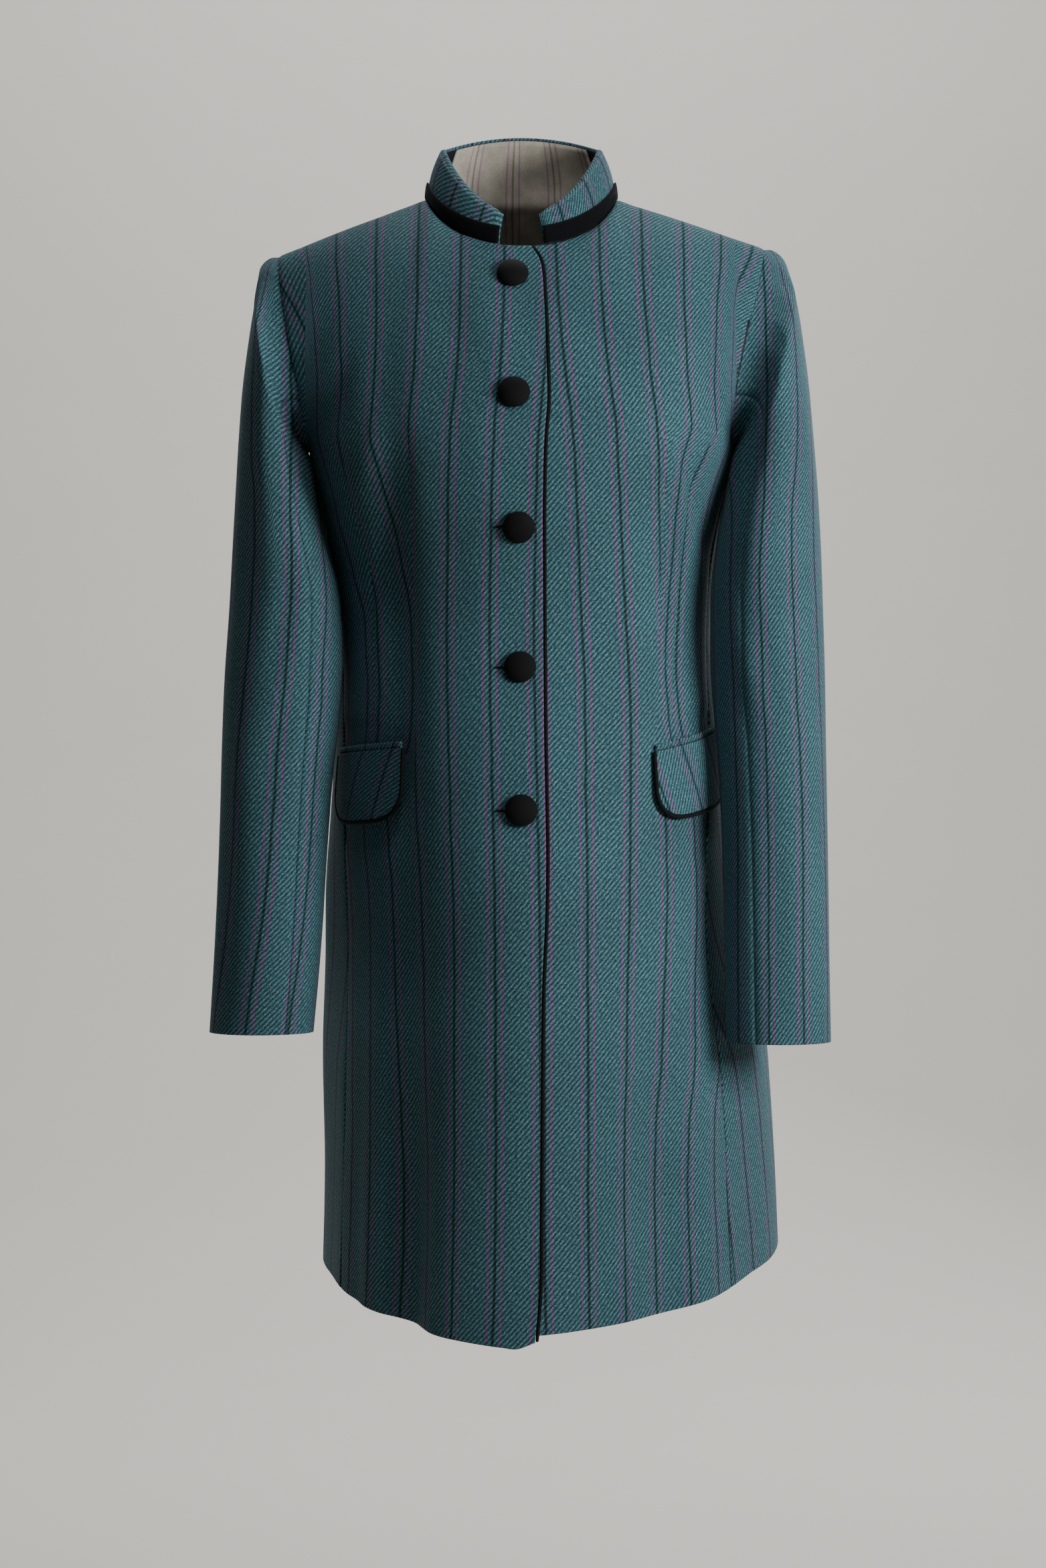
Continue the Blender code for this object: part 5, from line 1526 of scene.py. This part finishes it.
class JACKET_OT_pockets(bpy.types.Operator):
    """Make both pockets: welt, piped flap and its piping"""
    bl_idname = "jacket.pockets"
    bl_label = "Pockets"

    def execute(self, context):
        for side, name in ((-1, "right"), (1, "left")):
            self.make_flap(side, name)
            self.make_welt(side, name)
        return {"FINISHED"}

    def make_flap(self, side, name):
        share = 0.5 - 0.5 * np.cos(math.pi * np.linspace(0.0, 1.0, 49))
        fall = edge_places(100.0, 20)[:, None] / 100.0
        drops = flap_drop(share)[None] * fall
        crown = 0.7 * np.sin(math.pi * np.clip(fall, 0.0, 1.0)) * np.sin(math.pi * share)[None]
        grid, normal = flap_grid(side, share, drops, FLAP_WALL + LAY_GAP + FLAP_KICK * fall + crown)
        # The flap is cut on a slight slant, so its stripes lean
        turn = math.radians(22.0 if side < 0 else 20.0)
        over, under = FLAP_WIDTH * share[None] * np.ones_like(fall), -drops
        across = side * (over * math.cos(turn) + under * math.sin(turn)) + 8.0
        upright = under * math.cos(turn) - over * math.sin(turn)
        piece = panel_object("pocket_flap_%s_cloth" % name, grid, across, across, upright, side,
                             wool_twill(), None, FLAP_WALL * MM)
        mount(piece, "pocket_flap_" + name)
        declare(grid)
        last = grid.shape[0] - 1
        edge = [(r, 0) for r in range(last)] + [(last, c) for c in range(grid.shape[1])]
        edge += [(r, grid.shape[1] - 1) for r in range(last - 1, -1, -1)]
        outline = np.array([grid[r, c] for r, c in edge])
        out = np.array([normal[r, c] for r, c in edge])
        keep = np.concatenate([[True], np.linalg.norm(np.diff(outline, axis=0), axis=1) > 0.4])
        outline, out = outline[keep], out[keep]
        away = unit(np.cross(np.gradient(outline, axis=0), out)) * side
        line = outline + away * (FLAP_PIPING_RADIUS + 0.2) - out * FLAP_WALL / 2
        cord = cord_object("flap_piping_%s_cord" % name, line, FLAP_PIPING_RADIUS, cotton_piping())
        mount(cord, "flap_piping_" + name)

    def make_welt(self, side, name):
        share = np.linspace(0.0, 1.0, 41)
        drops = -(WELT_DEPTH + LAY_GAP) + WELT_DEPTH * np.array((0.0, 0.12, 0.3, 0.5, 0.7, 0.88, 1.0))[:, None]
        swell = np.array((-0.5, 0.0, 0.25, 0.35, 0.25, 0.0, -0.5))[:, None]
        grid, _ = flap_grid(side, share, drops * np.ones_like(share), WELT_WALL + LAY_GAP + swell)
        across = np.broadcast_to(side * FLAP_WIDTH * share + 8.0, grid.shape[:2])
        piece = panel_object("pocket_welt_%s_cloth" % name, grid, across, across,
                             np.broadcast_to(-drops, grid.shape[:2]), side, wool_twill(), None,
                             WELT_WALL * MM)
        mount(piece, "pocket_welt_" + name)
        declare(grid)


class JACKET_OT_buttons(bpy.types.Operator):
    """Make the five covered buttons and the ends of the buttonholes that show"""
    bl_idname = "jacket.buttons"
    bl_label = "Buttons"

    def execute(self, context):
        grid, _, _, columns = front_panel(-1)
        grid = mirrored(moved_front(-1, grid, columns, context.scene.jacket_sizes.crease_depth), -1)
        tree = search_tree(grid)
        for number, (across, height) in enumerate(BUTTON_PLACES, 1):
            point, normal = tree.ray_cast(Vector((across, -400.0, height)), Vector((0.0, 1.0, 0.0)))[:2]
            if point is None:
                raise RuntimeError("button %d misses the front" % number)
            if normal.y > 0.0:
                normal = -normal
            self.make_button(number, point, normal)
            if number >= 3:
                self.make_buttonhole(number, tree, across, height)
        return {"FINISHED"}

    def make_button(self, number, point, normal):
        shape = bmesh.new()
        line = [shape.verts.new((x * MM, 0.0, z * MM)) for x, z in BUTTON_PROFILE]
        edges = [shape.edges.new(pair) for pair in zip(line, line[1:])]
        bmesh.ops.spin(shape, geom=line + edges, cent=(0, 0, 0), axis=(0, 0, 1), dvec=(0, 0, 0),
                       angle=2.0 * math.pi, steps=40, use_merge=True, use_duplicate=False)
        bmesh.ops.remove_doubles(shape, verts=shape.verts, dist=1e-6)
        bmesh.ops.recalc_face_normals(shape, faces=shape.faces)
        layer = shape.loops.layers.uv.new("cloth")
        for face in shape.faces:
            for loop in face.loops:
                loop[layer].uv = (loop.vert.co.x, loop.vert.co.y)
        turned = normal.to_track_quat("Z", "Y").to_matrix().to_4x4()
        turned.translation = (point + normal * LAY_GAP) * MM
        bmesh.ops.transform(shape, matrix=turned, verts=shape.verts)
        mesh = bpy.data.meshes.new("button_%d_cover" % number)
        shape.to_mesh(mesh)
        shape.free()
        mesh.materials.append(woven_button_cover())
        mesh.shade_smooth()
        button = bpy.data.objects.new(mesh.name, mesh)
        bpy.context.scene.collection.objects.link(button)
        smooth = button.modifiers.new("round", "SUBSURF")
        smooth.levels = smooth.render_levels = 1
        mount(button, "button_%d" % number)

    def make_buttonhole(self, number, tree, across, height):
        """Worked end of the buttonhole, which runs out from under the button."""
        length = np.linspace(-20.5, -10.0, 13)
        width = np.linspace(0.9, -0.9, 5)
        grid = np.zeros((5, 13, 3))
        for r, up in enumerate(width):
            for c, over in enumerate(length):
                thin = math.sqrt(max(0.0, 1.0 - ((over + 13.0) / 7.6) ** 2)) if over < -13.0 else 1.0
                x, z = across + over, height + up * max(thin, 0.15)
                point = tree.ray_cast(Vector((x, -400.0, z)), Vector((0.0, 1.0, 0.0)))[0]
                grid[r, c] = (x, point.y - 0.45 - 0.3 * (1.0 - (up / 0.9) ** 2), z)
        piece = panel_object("buttonhole_%d_thread" % number, grid, grid[..., 0], grid[..., 0],
                             grid[..., 2], 1, cotton_piping(), None, 0.4 * MM)
        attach(piece, "root")


class JACKET_OT_stage(bpy.types.Operator):
    """Make the pale floor and backdrop, the soft lights and the camera"""
    bl_idname = "jacket.stage"
    bl_label = "Stage"

    def execute(self, context):
        self.make_floor(context)
        for light in LIGHTS:
            self.add_light(*light)
        world = bpy.data.worlds.new("studio")
        world.use_nodes = True
        world.node_tree.nodes["Background"].inputs[0].default_value = opaque(linear("#C8CCD0"))
        world.node_tree.nodes["Background"].inputs[1].default_value = WORLD_STRENGTH
        context.scene.world = world
        camera = bpy.data.objects.new("camera", bpy.data.cameras.new("camera"))
        camera.data.lens = CAMERA_LENS
        camera.data.sensor_width = CAMERA_SENSOR
        camera.location = CAMERA_PLACE
        camera.rotation_euler = (math.pi / 2.0, 0.0, 0.0)
        camera.data.clip_end = 50.0
        context.scene.collection.objects.link(camera)
        context.scene.camera = camera
        return {"FINISHED"}

    def make_floor(self, context):
        """Floor that turns up into a backdrop in one soft curve."""
        shape = bmesh.new()
        bmesh.ops.create_grid(shape, x_segments=8, y_segments=60, size=1.0)
        for vert in shape.verts:
            share = (vert.co.y + 1.0) / 2.0
            run = share * FLOOR_LENGTH + FLOOR_START
            rise = max(0.0, run - FLOOR_TURN)
            bend = min(rise / FLOOR_ROUND, math.pi / 2.0)
            y = min(run, FLOOR_TURN) + FLOOR_ROUND * math.sin(bend) * (rise > 0.0)
            z = FLOOR_ROUND * (1.0 - math.cos(bend)) + max(0.0, rise - FLOOR_ROUND * math.pi / 2.0)
            vert.co = (vert.co.x * FLOOR_HALF_WIDTH, y, z + FLOOR_HEIGHT)
        mesh = bpy.data.meshes.new("floor")
        shape.to_mesh(mesh)
        shape.free()
        mesh.shade_smooth()
        material, tree, _ = new_material("matt_paper")
        # Matt backdrop paper: even and pale, with a very faint tooth
        paper = add_node(tree, "ShaderNodeTexNoise", {}, {"Scale": 40.0, "Detail": 3.0})
        tone = add_node(tree, "ShaderNodeMapRange", {}, {"Value": paper, "To Min": 0.98, "To Max": 1.02})
        colour = add_node(tree, "ShaderNodeVectorMath", {"operation": "SCALE"},
                          {0: tuple(context.scene.jacket_colours.floor), "Scale": tone})
        shader = tree.nodes["Principled BSDF"]
        tree.links.new(colour, shader.inputs["Base Color"])
        shader.inputs["Roughness"].default_value = 0.95
        mesh.materials.append(material)
        floor = bpy.data.objects.new("floor", mesh)
        context.scene.collection.objects.link(floor)

    def add_light(self, name, place, target, size, power):
        """Square soft light that faces a point."""
        data = bpy.data.lights.new(name, "AREA")
        data.size = size
        data.energy = power
        light = bpy.data.objects.new(name, data)
        light.location = place
        light.rotation_euler = (Vector(target) - Vector(place)).to_track_quat("-Z", "Y").to_euler()
        bpy.context.scene.collection.objects.link(light)


OPERATORS = (JACKET_OT_stage, JACKET_OT_fronts, JACKET_OT_back, JACKET_OT_sleeves, JACKET_OT_collar,
             JACKET_OT_front_piping, JACKET_OT_pockets, JACKET_OT_buttons)


class JACKET_PT_panel(bpy.types.Panel):
    """Panel that lists the jacket's sizes, colours and pieces"""
    bl_idname = "JACKET_PT_panel"
    bl_label = "Long jacket"
    bl_space_type = "VIEW_3D"
    bl_region_type = "UI"
    bl_category = "Jacket"

    def draw(self, context):
        for group in (context.scene.jacket_sizes, context.scene.jacket_colours):
            for name in group.__annotations__:
                self.layout.prop(group, name)
        for operator in OPERATORS:
            self.layout.operator(operator.bl_idname)


CLASSES = (JacketSizes, JacketColours) + OPERATORS + (JACKET_PT_panel,)


def register():
    for item in CLASSES:
        bpy.utils.register_class(item)
    bpy.types.Scene.jacket_sizes = bpy.props.PointerProperty(type=JacketSizes)
    bpy.types.Scene.jacket_colours = bpy.props.PointerProperty(type=JacketColours)


def unregister():
    del bpy.types.Scene.jacket_colours
    del bpy.types.Scene.jacket_sizes
    for item in reversed(CLASSES):
        bpy.utils.unregister_class(item)


def main():
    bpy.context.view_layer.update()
    register()
    bpy.ops.jacket.stage()
    bpy.ops.jacket.fronts()
    bpy.ops.jacket.back()
    bpy.ops.jacket.sleeves()
    bpy.ops.jacket.collar()
    bpy.ops.jacket.front_piping()
    bpy.ops.jacket.pockets()
    bpy.ops.jacket.buttons()


if __name__ == "__main__":
    main()
